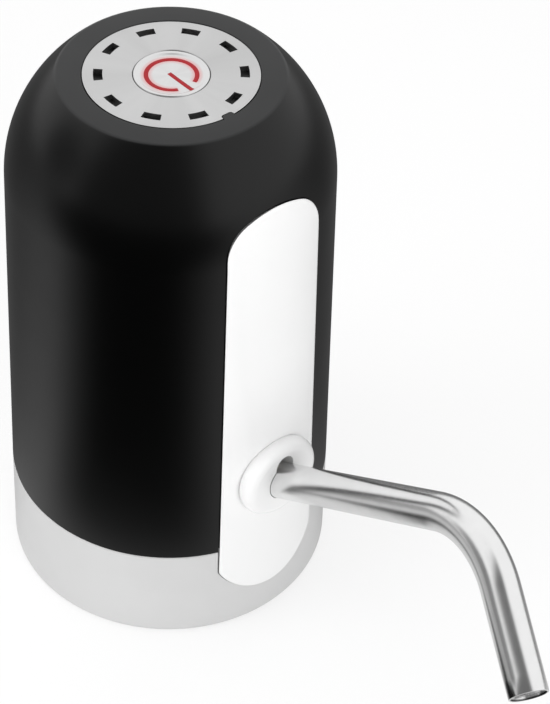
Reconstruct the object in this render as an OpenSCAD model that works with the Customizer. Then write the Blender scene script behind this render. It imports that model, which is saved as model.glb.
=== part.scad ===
// Rechargeable pump that sits on the neck of a large water bottle.
// The spout faces -Y, +Z is up, and the origin is on the body's axis at the base's rim.

/* [Body] */
// Height from the base's rim to the flat top
body_h = 130.6; // [126:0.1:140]
// How much wider the base is at its rim than at the seam
base_flare = 0.3; // [0:0.05:1]
// Height of the seam between base and shell above the floor plate
seam_lap = 2.3; // [2:0.1:3]
// How much the wall leans in from the seam to the shoulder
wall_taper = 1.7; // [0.8:0.1:3]
// Height of the round shoulder
shoulder_h = 24.4; // [20:0.1:28]
// Width of the round shoulder, seen from above
shoulder_w = 11.3; // [9:0.1:13]
// Wall of the shell
shell_wall = 2.4; // [2:0.1:2.8]
// Thickness of the shell's roof
roof_t = 3.4; // [2.8:0.1:4]
// Rounding of the base's lower edge
base_edge = 1.5; // [0.5:0.1:2.5]

/* [Bottle socket] */
// Radius of the bore that the bottle's neck enters
neck_r = 28; // [26:0.1:31]
// Width of the base from that bore to its outside
base_w = 8.5; // [7.8:0.1:10]
// Length of the neck bore
neck_l = 8; // [6:0.5:10]
// Depth of the socket, up to the floor plate
socket_h = 20; // [18:0.1:22]
// Thickness of the floor plate
floor_t = 2.5; // [2:0.1:3]
// Wall round the socket
neck_wall = 1.6; // [1.2:0.1:1.8]
// Thickness of the base's rim and outer wall
base_wall = 2.4; // [2:0.1:2.6]
// Depth of the seal's pocket behind the bore
seal_pocket = 1.6; // [1.2:0.1:1.8]
// Thickness of the seal's flange under the floor plate
seal_t = 2.2; // [1.6:0.1:3]
// Width of the seal's flange inside the bore
seal_w = 7; // [5:0.5:9]
// Radius of the seal's ribs
rib_r = 0.9; // [0.6:0.1:1.2]
// Radius of the suction hose's nipple
nipple_r = 4; // [3.5:0.1:4.4]
// Length of the nipple below the floor plate
nipple_l = 11; // [8:0.5:11.5]

/* [Front panel] */
// Half width of the panel where its arch springs
panel_head_w = 11.95; // [10.5:0.05:13]
// How much wider each side is at the lower corners
panel_flare = 1.4; // [0.5:0.05:2]
// How far the arch's crown lies below the flat top
panel_drop = 13.6; // [11:0.1:18]
// Height of the panel's lowest point
panel_low_z = 9.6; // [7:0.1:12]
// Radius of the arch's crown, as a share of the half width
arch_round = 1.42; // [1.3:0.01:1.7]
// Radius of the arch's shoulders, as a share of the half width
arch_side_round = 0.695; // [0.6:0.005:0.75]
// Radius of the rounded lower end, as a share of the half width there
panel_end_round = 1.086; // [1.05:0.002:1.4]
// How far the panel stands proud of the shell
panel_proud = 0.6; // [0.2:0.1:1]
// Depth of the panel's pocket in shell and base
pocket_d = 1.4; // [1:0.1:1.5]

/* [Top] */
// Width of the flat ring round the top plate
top_ring_w = 5.4; // [4:0.1:7]
// Thickness of the top plate
plate_t = 1.2; // [0.8:0.1:1.5]
// Number of slots in the top plate
slot_n = 10; // [6:2:12]
// Length of a slot
slot_l = 3.8; // [3:0.1:4.4]
// Width of a slot
slot_w = 1.9; // [1.4:0.1:2.4]
// Distance of the slots' middle from the plate's rim
slot_inset = 3.2; // [2.6:0.1:3.8]
// Width of the notch at the front of the plate's rim
notch_w = 3; // [2:0.1:4]
// Depth of that notch
notch_d = 1; // [0.6:0.1:1.4]
// Radius of the power button
button_r = 7.75; // [7:0.05:8.6]
// How far the button stands above the plate
button_rise = 0; // [-0.2:0.1:0.6]
// Depth of the dish in the button's face
dish_d = 0.25; // [0.1:0.05:0.4]
// Travel of the button
button_travel = 0.7; // [0.4:0.1:0.9]

/* [Spout] */
// Radius of the spout's tube
spout_r = 4; // [3.6:0.1:4.4]
// Wall of the tube
spout_wall = 0.5; // [0.4:0.05:0.8]
// Angle at which the spout rises
spout_rise = 32; // [29:0.5:34]
// Turn of the spout in its seals, as it stands
spout_turn = 26.5; // [-90:0.5:90]
// Angle of the spout's bend
spout_bend = 62.3; // [45:0.1:95]
// Radius of the bend
spout_bend_r = 23.3; // [14:0.1:30]
// Length from the root to the bend
spout_run = 57.8; // [40:0.1:70]
// Length from the bend to the tip
spout_drop = 21.2; // [12:0.1:40]
// Height of the spout's root above the seam
spout_h = 17; // [16:0.1:19]
// Rounding of the tube's rim
tip_edge = 0.2; // [0.1:0.05:0.35]
// How much the tube draws in at its bend
bend_draw = 0.02; // [0.02:0.01:0.05]
// Radius of the collar round the spout
collar_r = 10; // [9.2:0.1:10.8]
// Height of the collar's centre above the spout's root
collar_h = 2.4; // [2:0.1:3]
// How far the collar stands out of the panel
collar_out = 3.1; // [2.5:0.1:4]
// Rounding of the collar's rim, front and back
collar_edge = 2.4; // [1.8:0.1:2.8]
// Radius of the head room over the spout in the collar
head_r = 2.4; // [2:0.1:2.8]
// How far the head room lies above the spout's axis
head_rise = 4.5; // [4:0.1:4.8]

/* [Pump] */
// Place of the pump's axis to the left of the body's axis
pump_x = -6.5; // [-7.2:0.1:-5.8]
// Place of the pump's axis behind the body's axis
pump_y = 3.5; // [3:0.1:4]
// Half width of the pump head
head_w = 12.6; // [11.5:0.1:13.4]
// Thickness of the pump cover
cover_t = 7; // [6.6:0.1:7.6]
// Thickness of the valve plate
valve_t = 3; // [2.5:0.1:3.5]
// Thickness of the diaphragm's sheet
sheet_t = 1.2; // [0.8:0.1:1.5]
// Thickness of the cup plate
cup_plate_t = 3.8; // [3.4:0.1:4.2]
// Height of the pump housing
housing_h = 16.5; // [15:0.1:18]
// Wall of the pump housing
housing_wall = 1.2; // [1:0.1:1.4]
// Outer radius of a cup
cup_r = 4.2; // [3.8:0.1:4.4]
// Tilt of the crank pin
crank_tilt = 6; // [4:0.5:7]

/* [Motor] */
// Radius of the motor
motor_r = 12.2; // [11:0.1:13]
// Wall of the motor's can
can_wall = 0.9; // [0.7:0.1:1.2]
// Room between the motor and the control board
motor_room = 5.7; // [5:0.1:8]
// Radius of the shaft
shaft_r = 1; // [0.8:0.05:1.2]
// Thickness of the magnets
magnet_t = 2.4; // [2:0.1:2.5]

/* [Power] */
// Radius of the cell
cell_r = 9.15; // [8.6:0.05:9.3]
// Length of the cell
cell_l = 65; // [58:0.5:70]
// Direction of the cell from the body's axis
cell_side = 22.8; // [18:0.1:26]
// Height of the charging socket above the seam
usb_h = 8.2; // [7:0.1:12]
// Width of the charging socket
usb_w = 7.6; // [7:0.1:8.4]
// Thickness of the charging socket
usb_t = 2.7; // [2.4:0.1:3]

/* [Clearances] */
// Gap round the panel, the top plate and the floor plate
fit_gap = 0.15; // [0.1:0.01:0.2]
// Gap between glued curved faces
glue_gap = 0.05; // [0.03:0.01:0.1]
// Gap round the power button
button_gap = 0.15; // [0.1:0.05:0.3]
// Running gap of shafts, pins and seals
run_gap = 0.05; // [0.03:0.01:0.08]
// Gap between the spout and the hole in its collar
collar_gap = 0.2; // [0.1:0.05:0.4]
// Room between the cell's cradle and the shell
cell_room = 2.8; // [2:0.1:4]

/* [Hidden] */
$fn = 96;
// Overshoot of cuts, so that no face is left behind
cut = 1;

// Heights in the base
floor_z = socket_h;
floor_top = floor_z + floor_t;
seam_z = floor_top + seam_lap;
shoulder_z = body_h - shoulder_h;

// Outline of the body: a straight lean up to the shoulder, then one arc tangent to it
seam_r = neck_r + base_w;
base_r = seam_r + base_flare;
shoulder_r = seam_r - wall_taper;
top_r = shoulder_r - shoulder_w;
wall_lean = atan(wall_taper / (shoulder_z - seam_z));
inward = [-cos(wall_lean), -sin(wall_lean)];
shoulder_chord = [-shoulder_w, shoulder_h];
shoulder_arc_r = (shoulder_chord * shoulder_chord) / (2 * (shoulder_chord * inward));
shoulder_arc_c = [shoulder_r, shoulder_z] + shoulder_arc_r * inward;
function wall_r(z) = seam_r - (z - seam_z) * tan(wall_lean);
function base_line(z) = base_r - base_flare * z / seam_z;

// Base, floor plate and seal
seal_r = neck_r + seal_pocket;
seal_in_r = neck_r - seal_w;
neck_out_r = seal_r + neck_wall;
channel_r = seam_r - base_wall;
floor_r = seam_r - shell_wall - fit_gap;
floor_rim_t = 1.7;
floor_rim_h = 6.5;
base_screw_r = 0.9;
base_screw_head_r = 1.4;
base_screw_head_t = 1.2;
base_screw_l = 9;
base_boss_r = 2.2;
base_screw_ring_r = channel_r - base_screw_head_r - fit_gap;
base_screw_angles = [90, 210, 330];

// Suction fitting
shank_r = nipple_r + 0.6;
fitting_flange_r = nipple_r + 3;
fitting_flange_t = 1.5;
hose_spigot_r = 3.2;
water_r = 2.2;
spigot_h = 13;
hose_wall = 1.9;

// Front panel
panel_foot_w = panel_head_w + panel_flare;
panel_top_z = body_h - panel_drop;
arch_r = panel_head_w * arch_round;
arch_side_r = panel_head_w * arch_side_round;
panel_end_r = panel_foot_w * panel_end_round;

// Spout root and its socket
spout_z = seam_z + spout_h;
spout_root_y = seam_r - 0.5;
collar_z = spout_z + collar_h;
socket_r = spout_r + 2.4;
socket_stop = -12;
socket_back = -20;
o_ring_r = 0.65;
o_ring_places = [-9.6, -6];
o_ring_groove = 0.25;
tube_stop_gap = 0.2;
barb_r = 2.6;
barb_y = spout_root_y - 14;
barb_water_r = 1.6;
barb_low = spout_z - (spout_root_y - barb_y) * tan(spout_rise);
socket_foot_w = 10;
socket_foot_l = 8;

// The elbow comes down on the socket's barb, and that sets the pump's height
elbow_r = 6;
elbow_wall = 1.5;
elbow_draw = 0.05;
elbow_tail = 3.508;
bend_lap = 0.3;
elbow_front_y = barb_y + barb_r + elbow_wall + glue_gap;
elbow_low = spout_z - (spout_root_y - elbow_front_y) * tan(spout_rise) + socket_r / cos(spout_rise) + 0.3;
outlet_z = elbow_low + elbow_tail + elbow_r;
barb_top = elbow_low + elbow_tail - bend_lap;
barb_from_pump = [-pump_x, -barb_y - pump_y];
outlet_reach = norm(barb_from_pump);
outlet_angle = atan2(barb_from_pump[1], barb_from_pump[0]);
outlet_nozzle_end = outlet_reach - elbow_r;

// Heights at the top
roof_z = body_h - roof_t;
plate_z = body_h - plate_t;
plate_r = top_r - top_ring_w;
slot_ring_r = plate_r - slot_inset;
flange_t = 1.2;
flange_r = button_r + 1.6;
stem_r = 2.2;
plunger_r = 1.75;
plunger_top = roof_z - flange_t - 1.5;
switch_w = 6;
switch_h = 3.4;
switch_top = plunger_top - button_travel - 0.8;
plunger_low = switch_top - 2;
board_top = switch_top - switch_h;
board_t = 1.6;
board_z = board_top - board_t;
board_r = top_r - 5.3;
post_r = 2.6;
post_ring_r = board_r - 3.2;
post_angles = [90, 210, 330];
board_screw_r = 0.8;
board_screw_l = 5;
board_screw_head_r = 1.6;
board_screw_head_t = 1.1;
led_x = 6;
led_w = 2;
led_h = 1.6;

// Heights in the pump, from the cover up
pump_z = outlet_z - 3;
valve_z = pump_z + cover_t;
sheet_z = valve_z + valve_t;
cup_plate_z = sheet_z + sheet_t;
housing_z = cup_plate_z + cup_plate_t;
motor_z = housing_z + housing_h;
motor_top = board_z - motor_room;
motor_l = motor_top - motor_z;
head_corner_r = head_w * 1.3;
housing_roof_t = 1.5;
housing_bore_r = head_w - housing_wall;
cup_ring_r = head_w - 5.6;
cup_angles = [90, 210, 330];
cup_wall = 0.7;
cup_h = cup_plate_t - 0.4;
stalk_r = 1.1;
stalk_hole_r = 1.9;
stalk_head_r = 2.3;
stalk_head_t = 1;
outlet_chamber_r = 3.4;
inlet_chamber_in = 4.4;
inlet_chamber_out = head_w - 2.7;
chamber_d = 2.4;
outlet_sump = 2;
pump_screw_o = head_w - 2.2;
pump_screw_r = 1.1;
pump_screw_head_r = 2;
pump_screw_head_t = 1.6;
pump_screw_hold = 7;
pump_screw_l = cover_t + valve_t + sheet_t + cup_plate_t + pump_screw_hold;
screw_gap = 0.05;
nozzle_l = 7;

// Rubber valves
valve_stem_r = 0.7;
inlet_valve_r = 2.4;
outlet_valve_r = 3.1;
valve_disc_t = 0.5;

// Wobble plate and crank; the shaft ends above the slanted pin, inside the hub
crank_hub_r = 4;
crank_hub_h = 5.2;
crank_hub_z = motor_z - housing_roof_t - 0.6 - crank_hub_h;
crank_fit = 0.02;
shaft_low = crank_hub_z + crank_hub_h - 1.7;
wobble_z = housing_z + 1;
wobble_r = housing_bore_r - 1.2;
wobble_t = 2;
wobble_lift = 4;
wobble_boss_r = 2.8;
wobble_boss_low = wobble_lift - wobble_t / 2 - 0.8;
wobble_boss_top = crank_hub_z - wobble_z - 1;
crank_pin_r = 1;
crank_pin_lo = 2.5;
crank_pin_hi = shaft_low - wobble_z - 0.5;

// Motor
boss_r = 3;
boss_h = 1.2;
bush_r = 2.4;
bush_h = 3.6;
end_cap_t = 2.8;
shaft_top = motor_top - end_cap_t / 2;
magnet_l = 0.62 * motor_l;
magnet_z = motor_z + can_wall + 0.06 * motor_l;
armature_l = 0.54 * motor_l;
commutator_l = 0.1 * motor_l;
commutator_r = 2.8;
armature_r = motor_r - can_wall - glue_gap - magnet_t - 0.65;
armature_z = motor_z + 0.18 * motor_l;
terminal_o = motor_r - 4.2;
terminal_w = 3;
terminal_t = 0.5;
terminal_h = 3;
terminal_hold = 1;

// Frame, cell and the rubber ring that holds the motor above the cell
frame_foot_t = 2;
frame_foot_r = base_screw_ring_r - base_screw_head_r - fit_gap;
frame_top = floor_top + frame_foot_t;
frame_front_y = 12;
cradle_gap = 0.25;
cradle_wall = 1.4;
cradle_open = 4;
cell_axis_r = seam_r - shell_wall - cell_room - cradle_wall - cradle_gap - cell_r;
cell_x = cell_axis_r * cos(cell_side);
cell_y = cell_axis_r * sin(cell_side);
cell_angle = atan2(cell_y - pump_y, cell_x - pump_x);
cell_reach = norm([cell_x - pump_x, cell_y - pump_y]);
tab_t = 0.3;
tab_w = 6;
tab_l = 16;
nub_r = 3;
nub_h = 0.8;
cell_z = frame_top + tab_t;
cell_top = cell_z + cell_l;
damper_t = 2;
damper_z = cell_top + nub_h + tab_t + 1.2;
damper_h = 5;
ring_in_r = motor_r + damper_t + 2 * glue_gap;
ring_t = 1.8;
column_r = 2.2;
column_ring_r = head_w - 2.4;
column_angles = [60, 150, 240];
web_t = 1.8;

// Charging board and socket
usb_z = seam_z + usb_h;
charge_board_t = 1.2;
charge_board_w = 18;
usb_l = 5.6;
usb_back_y = wall_r(usb_z) - 0.8 - usb_l;
usb_low = usb_z - usb_t / 2;
charge_board_z = usb_low - charge_board_t;
charge_board_y = usb_back_y - 11;
charge_board_end = usb_back_y + 2;
charge_post_x = 6;
charge_post_r = 2;
charge_post_y = charge_board_y + 2.5;
usb_mouth = 0.9;
usb_wall = 0.4;

// Leads and the places where they end
lead_r = 0.6;
lead_sides = 8;
lead_stub = 1.2;
lead_steps = 5;
minus_x = (pump_x + head_w + cell_x - cell_r) / 2;
minus_pad = [minus_x, cell_y - (cell_x - minus_x) * tan(cell_angle)];
minus_way = [minus_pad[0], pump_y - ring_in_r + 1];
charge_way_y = pump_y + ring_in_r + ring_t + 4;

// Helpers

// Half outline of the body, grown outwards, between two heights
module skin_profile(grow, z_lo, z_hi) {
    tangent = [shoulder_r, shoulder_z] - grow * inward;
    foot = z_lo < seam_z
        ? [[base_line(z_lo) + grow, z_lo], [seam_r + grow, seam_z]]
        : [[wall_r(z_lo) + grow, z_lo]];
    polygon(concat([[0, z_lo]], foot, [tangent, [0, tangent[1]]]));
    intersection() {
        translate(shoulder_arc_c) circle(shoulder_arc_r + grow);
        translate([0, tangent[1]]) square([seam_r + grow, z_hi - tangent[1]]);
    }
}

// Solid of that outline
module skin_solid(grow, z_lo, z_hi) {
    rotate_extrude() skin_profile(grow, z_lo, z_hi);
}

// Points along an arc
function arc(c, r, from, to, n) = [
    for (i = [0:n]) let (a = from + (to - from) * i / n) c + r * [cos(a), sin(a)]
];

// Outline of the front panel, seen from the front, grown by a clearance
function panel_outline(grow) =
    let (
        side_x = panel_head_w - arch_side_r,
        crown_c = [0, panel_top_z - arch_r],
        side_c = crown_c + [side_x, sqrt(pow(arch_r - arch_side_r, 2) - side_x * side_x)],
        crown_half = atan2(side_x, side_c[1] - crown_c[1]),
        end_c = [0, panel_low_z + panel_end_r],
        end_half = asin(panel_foot_w / panel_end_r)
    )
    concat(
        arc(side_c, arch_side_r + grow, 0, 90 - crown_half, 10),
        arc(crown_c, arch_r + grow, 90 - crown_half, 90 + crown_half, 10),
        arc([-side_c[0], side_c[1]], arch_side_r + grow, 90 + crown_half, 180, 10),
        arc(end_c, panel_end_r + grow, 270 - end_half, 270 + end_half, 16)
    );

// The panel's outline as a block that runs out through the front
module panel_block(grow) {
    rotate([90, 0, 0]) linear_extrude(base_r + panel_proud + cut) polygon(panel_outline(grow));
}

// Pocket for the panel in the shell and the base
module panel_pocket() {
    difference() {
        panel_block(fit_gap);
        skin_solid(-pocket_d, -cut, body_h);
    }
}

// Frame of the spout: Z runs out along the tube, Y is up
module at_spout() {
    translate([0, -spout_root_y, spout_z]) rotate([90 - spout_rise, 0, 0]) children();
}

// Round way along the spout's axis through the front of the body
module spout_path(r) {
    at_spout() translate([0, 0, socket_back]) cylinder(r = r, h = spout_run - socket_back);
}

// Frame of the pump's axis
module at_pump(z = 0) {
    translate([pump_x, pump_y, z]) children();
}

// Frame of the crank pin: Z runs up along the slanted pin from the centre of the wobble
module at_crank_pin() {
    at_pump(wobble_z) rotate([0, crank_tilt, 0]) children();
}

// Frame of the pump's outlet: Z runs out along its nozzle
module at_outlet() {
    at_pump(outlet_z) rotate(outlet_angle) rotate([0, 90, 0]) children();
}

// Tube between two heights
module tube(r_out, r_in, h) {
    difference() {
        cylinder(r = r_out, h = h);
        translate([0, 0, -cut]) cylinder(r = r_in, h = h + 2 * cut);
    }
}

// Round copies about Z
module around(angles, r) {
    for (a = angles) rotate(a) translate([r, 0, 0]) children();
}

// Screw whose head lies above its shank
module screw(r, l, head_r, head_t) {
    translate([0, 0, -l]) cylinder(r = r, h = l);
    cylinder(r = head_r, h = head_t);
}

// Outline of the pump head's plates
module head_plate(h) {
    linear_extrude(h) intersection() {
        square(2 * head_w, center = true);
        circle(head_corner_r);
    }
}

// Places of the pump's corner screws
module at_pump_screws() {
    for (x = [-1, 1], y = [-1, 1]) translate([x * pump_screw_o, y * pump_screw_o, 0]) children();
}

// Holes for the pump's corner screws
module pump_screw_holes(h) {
    at_pump_screws() translate([0, 0, -cut]) cylinder(r = pump_screw_r + screw_gap, h = h + 2 * cut);
}

function unit(v) = v / norm(v);
function heading(p, i) = unit(p[min(i + 1, len(p) - 1)] - p[max(i - 1, 0)]);
function lead_ring(c, t, side) =
    let (a = unit(cross(t, side)), b = cross(t, a), step = 360 / lead_sides)
    [for (k = [0:lead_sides - 1]) c + lead_r * (cos(k * step) * a + sin(k * step) * b)];

// Insulated wire along its points
module lead(p, side) {
    n = lead_sides;
    last = len(p) - 1;
    rings = [for (i = [0:last]) each lead_ring(p[i], heading(p, i), side)];
    walls = [for (i = [0:last - 1], k = [0:n - 1]) each [
        [i * n + k, i * n + (k + 1) % n, (i + 1) * n + k],
        [i * n + (k + 1) % n, (i + 1) * n + (k + 1) % n, (i + 1) * n + k]
    ]];
    start = [for (k = [1:n - 2]) [0, k + 1, k]];
    end = [for (k = [1:n - 2]) [last * n, last * n + k, last * n + k + 1]];
    polyhedron(rings, concat(walls, start, end));
}

// Base and bottle socket

module base_ring() {
    color("white") difference() {
        union() {
            difference() {
                rotate_extrude() base_profile();
                translate([0, 0, base_wall]) tube(channel_r, neck_out_r, seam_z);
                translate([0, 0, floor_z]) cylinder(r = channel_r, h = seam_z);
            }
            around(base_screw_angles, base_screw_ring_r) translate([0, 0, base_wall / 2])
                cylinder(r = base_boss_r, h = floor_z - base_wall / 2);
        }
        translate([0, 0, -cut]) cylinder(r = neck_r, h = floor_z);
        translate([0, 0, neck_l]) cylinder(r = seal_r, h = seam_z);
        around(base_screw_angles, base_screw_ring_r) translate([0, 0, floor_z - base_screw_l])
            cylinder(r = base_screw_r + screw_gap, h = base_screw_l + cut);
        panel_pocket();
    }
}

// Half section of the solid base with its rounded lower edge
module base_profile() {
    difference() {
        polygon([[0, 0], [base_line(0), 0], [seam_r, seam_z], [0, seam_z]]);
        difference() {
            translate([base_r - base_edge, -cut]) square([base_edge + cut, base_edge + cut]);
            translate([base_r - base_edge, base_edge]) circle(base_edge);
        }
    }
}

module neck_seal() {
    sleeve_r = seal_r - fit_gap;
    sleeve_in = neck_r + 0.4;
    low = neck_l + fit_gap;
    color("dimgray") rotate_extrude() difference() {
        union() {
            translate([sleeve_in, low]) square([sleeve_r - sleeve_in, floor_z - low]);
            translate([seal_in_r, floor_z - seal_t]) square([sleeve_r - seal_in_r, seal_t]);
            for (z = [neck_l + 3, neck_l + 6.5]) translate([sleeve_in, z]) circle(rib_r);
        }
        for (x = [neck_r - 4, neck_r - 1.6]) translate([x, floor_z - seal_t]) circle(rib_r / 2);
    }
}

module floor_plate() {
    color("gainsboro") difference() {
        union() {
            translate([0, 0, floor_z]) cylinder(r = floor_r, h = floor_t);
            translate([0, 0, floor_z]) tube(floor_r, floor_r - floor_rim_t, floor_t + floor_rim_h);
        }
        around(base_screw_angles, base_screw_ring_r) {
            translate([0, 0, floor_z - cut])
                cylinder(r = base_screw_r + 2 * screw_gap, h = floor_t + 2 * cut);
            translate([0, 0, floor_top])
                cylinder(r = base_screw_head_r + 2 * fit_gap, h = floor_rim_h + cut);
        }
        translate([0, 0, floor_z - cut]) cylinder(r = shank_r + screw_gap, h = floor_t + 2 * cut);
        spout_path(socket_r + fit_gap);
    }
}

module suction_fitting() {
    nose = 0.8;
    color("gainsboro") difference() {
        union() {
            translate([0, 0, floor_z - nipple_l]) cylinder(r1 = nipple_r - nose, r2 = nipple_r, h = nose);
            translate([0, 0, floor_z - nipple_l + nose]) cylinder(r = nipple_r, h = nipple_l - nose);
            translate([0, 0, floor_z]) cylinder(r = shank_r, h = floor_t);
            translate([0, 0, floor_top]) cylinder(r = fitting_flange_r, h = fitting_flange_t);
            translate([0, 0, floor_top + fitting_flange_t]) cylinder(r = hose_spigot_r, h = spigot_h);
        }
        translate([0, 0, floor_z - nipple_l - cut])
            cylinder(r = water_r, h = nipple_l + floor_t + fitting_flange_t + spigot_h + 2 * cut);
    }
}

module base_screws() {
    color("silver") around(base_screw_angles, base_screw_ring_r) translate([0, 0, floor_top])
        screw(base_screw_r, base_screw_l + floor_t - 0.5, base_screw_head_r, base_screw_head_t);
}

// Shell, panel and top

module outer_shell() {
    color("#202022") {
        difference() {
            union() {
                rotate_extrude() difference() {
                    skin_profile(0, seam_z, body_h);
                    skin_profile(-shell_wall, seam_z - cut, roof_z);
                }
                around(post_angles, post_ring_r) translate([0, 0, board_top])
                    cylinder(r = post_r, h = roof_z - board_top + cut);
            }
            translate([0, 0, plate_z]) cylinder(r = plate_r + fit_gap, h = plate_t + cut);
            translate([0, 0, roof_z - cut]) cylinder(r = button_r + button_gap, h = roof_t + 2 * cut);
            around(post_angles, post_ring_r) translate([0, 0, board_top - cut])
                cylinder(r = board_screw_r + screw_gap, h = board_screw_l + cut);
            panel_pocket();
            spout_path(socket_r + 2 * fit_gap);
            usb_opening();
        }
    }
}

// Opening in the shell for the charging plug
module usb_opening() {
    w = usb_w + 2 * usb_mouth;
    t = usb_t + 2 * usb_mouth;
    translate([0, usb_back_y + usb_l / 2, usb_z]) rotate([-90, 0, 0]) linear_extrude(usb_l + 2 * cut) {
        square([w - t, t], center = true);
        for (x = [-1, 1]) translate([x * (w - t) / 2, 0]) circle(t / 2);
    }
}

// Way of the spout through collar and panel, with head room over it
module spout_way() {
    spout_path(spout_r + collar_gap);
    translate([0, 0, head_rise]) spout_path(head_r);
}

module front_panel() {
    color("white") difference() {
        intersection() {
            panel_block(0);
            skin_solid(panel_proud, 0, body_h);
        }
        skin_solid(-pocket_d + glue_gap, -cut, body_h);
        spout_way();
    }
}

module spout_collar() {
    face = wall_r(collar_z) + panel_proud + collar_out;
    root = wall_r(collar_z) - collar_out;
    depth = face - root;
    core = collar_r - collar_edge;
    color("white") difference() {
        translate([0, -root, collar_z]) rotate([90, 0, 0]) rotate_extrude() difference() {
            square([collar_r, depth]);
            difference() {
                translate([core, -cut]) square([collar_edge + cut, depth + 2 * cut]);
                translate([core, depth - collar_edge]) circle(collar_edge);
            }
        }
        skin_solid(panel_proud + glue_gap, 0, body_h);
        spout_way();
    }
}

module top_plate() {
    color("silver") translate([0, 0, plate_z]) difference() {
        cylinder(r = plate_r, h = plate_t);
        translate([0, 0, -cut]) cylinder(r = button_r + button_gap, h = plate_t + 2 * cut);
        for (i = [0:slot_n - 1]) rotate((i + 0.5) * 360 / slot_n - 90)
            translate([slot_ring_r, 0, plate_t / 2])
                cube([slot_w, slot_l, plate_t + 2 * cut], center = true);
        translate([0, -plate_r, plate_t / 2])
            cube([notch_w, 2 * notch_d, plate_t + 2 * cut], center = true);
    }
}

module power_button() {
    face = body_h + button_rise;
    rim = 0.4;
    dish_half = button_r - 0.8;
    dish_ball = (dish_half * dish_half + dish_d * dish_d) / (2 * dish_d);
    color("silver") rotate_extrude() difference() {
        union() {
            translate([0, roof_z - flange_t]) square([flange_r, flange_t]);
            translate([0, roof_z - flange_t]) square([button_r, face - roof_z + flange_t - rim]);
            translate([0, face - rim - cut]) square([button_r - rim, rim + cut]);
            translate([button_r - rim, face - rim]) circle(rim);
            translate([0, plunger_top]) square([stem_r, roof_z - plunger_top]);
        }
        translate([0, face - dish_d + dish_ball]) circle(dish_ball, $fn = 720);
    }
}

// Control board and switch

module switch_plunger() {
    color("black") translate([0, 0, plunger_low]) cylinder(r = plunger_r, h = plunger_top - plunger_low);
}

module switch_body() {
    color("gray") difference() {
        translate([-switch_w / 2, -switch_w / 2, board_top]) cube([switch_w, switch_w, switch_h]);
        translate([0, 0, plunger_low - button_travel - glue_gap])
            cylinder(r = plunger_r + run_gap, h = switch_h);
    }
}

module status_led() {
    color("red") translate([led_x - led_w / 2, -led_w / 2, board_top]) cube([led_w, led_w, led_h]);
}

module control_board() {
    color("darkgreen") translate([0, 0, board_z]) difference() {
        cylinder(r = board_r, h = board_t);
        around(post_angles, post_ring_r) translate([0, 0, -cut])
            cylinder(r = board_screw_r + 2 * screw_gap, h = board_t + 2 * cut);
    }
}

module board_screws() {
    color("silver") around(post_angles, post_ring_r) translate([0, 0, board_z]) mirror([0, 0, 1])
        screw(board_screw_r, board_t + board_screw_l - 0.5, board_screw_head_r, board_screw_head_t);
}

// Frame

module inner_frame() {
    ring_mid_r = ring_in_r + ring_t / 2;
    frame_h = damper_z + damper_h - frame_top;
    cradle_r = cell_r + cradle_gap;
    web_y = sqrt(pow(cradle_r + cradle_wall / 2, 2) - pow(cradle_open, 2)) + web_t / 4;
    web_x = sqrt(pow(ring_mid_r, 2) - pow(web_y, 2));
    web_l = cell_reach - cradle_open + 0.4 - web_x;
    color("lightgray") {
        difference() {
            translate([0, 0, floor_top]) cylinder(r = frame_foot_r, h = frame_foot_t);
            translate([0, 0, floor_top - cut])
                cylinder(r = fitting_flange_r + fit_gap, h = frame_foot_t + 2 * cut);
            translate([-base_r, -base_r, floor_top - cut])
                cube([2 * base_r, base_r - frame_front_y, frame_foot_t + 2 * cut]);
        }
        at_pump(frame_top) {
            around(column_angles, column_ring_r) cylinder(r = column_r, h = pump_z - frame_top);
            translate([-ring_in_r - column_r - glue_gap, 0, 0]) cylinder(r = column_r, h = frame_h);
        }
        at_pump(damper_z) tube(ring_in_r + ring_t, ring_in_r, damper_h);
        at_pump() rotate(cell_angle) {
            translate([cell_reach, 0, frame_top]) difference() {
                tube(cradle_r + cradle_wall, cradle_r, frame_h);
                translate([-2 * cradle_r - cradle_open, -2 * cradle_r, -cut])
                    cube([2 * cradle_r, 4 * cradle_r, frame_h + 2 * cut]);
            }
            for (side = [-1, 1]) translate([web_x, side * web_y - web_t / 2, damper_z])
                cube([web_l, web_t, damper_h]);
        }
        for (x = [-1, 1]) translate([x * charge_post_x, charge_post_y, frame_top])
            cylinder(r = charge_post_r, h = charge_board_z - frame_top);
    }
}

module pump_damper() {
    color("dimgray") at_pump(damper_z) tube(motor_r + glue_gap + damper_t, motor_r + glue_gap, damper_h);
}

// Pump head

module pump_cover() {
    color("whitesmoke") difference() {
        union() {
            at_pump(pump_z) head_plate(cover_t);
            translate([0, 0, pump_z - nozzle_l]) cylinder(r = hose_spigot_r, h = nozzle_l + cut);
            at_outlet() cylinder(r = barb_r, h = outlet_nozzle_end - bend_lap);
        }
        at_pump(pump_z) pump_screw_holes(cover_t);
        at_pump(valve_z - chamber_d) tube(inlet_chamber_out, inlet_chamber_in, chamber_d + cut);
        at_pump(outlet_z - outlet_sump) cylinder(r = outlet_chamber_r, h = cover_t);
        translate([0, 0, pump_z - nozzle_l - cut])
            cylinder(r = water_r, h = nozzle_l + cover_t - chamber_d + 2 * cut);
        at_outlet() cylinder(r = barb_water_r, h = outlet_nozzle_end + cut);
    }
}

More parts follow.
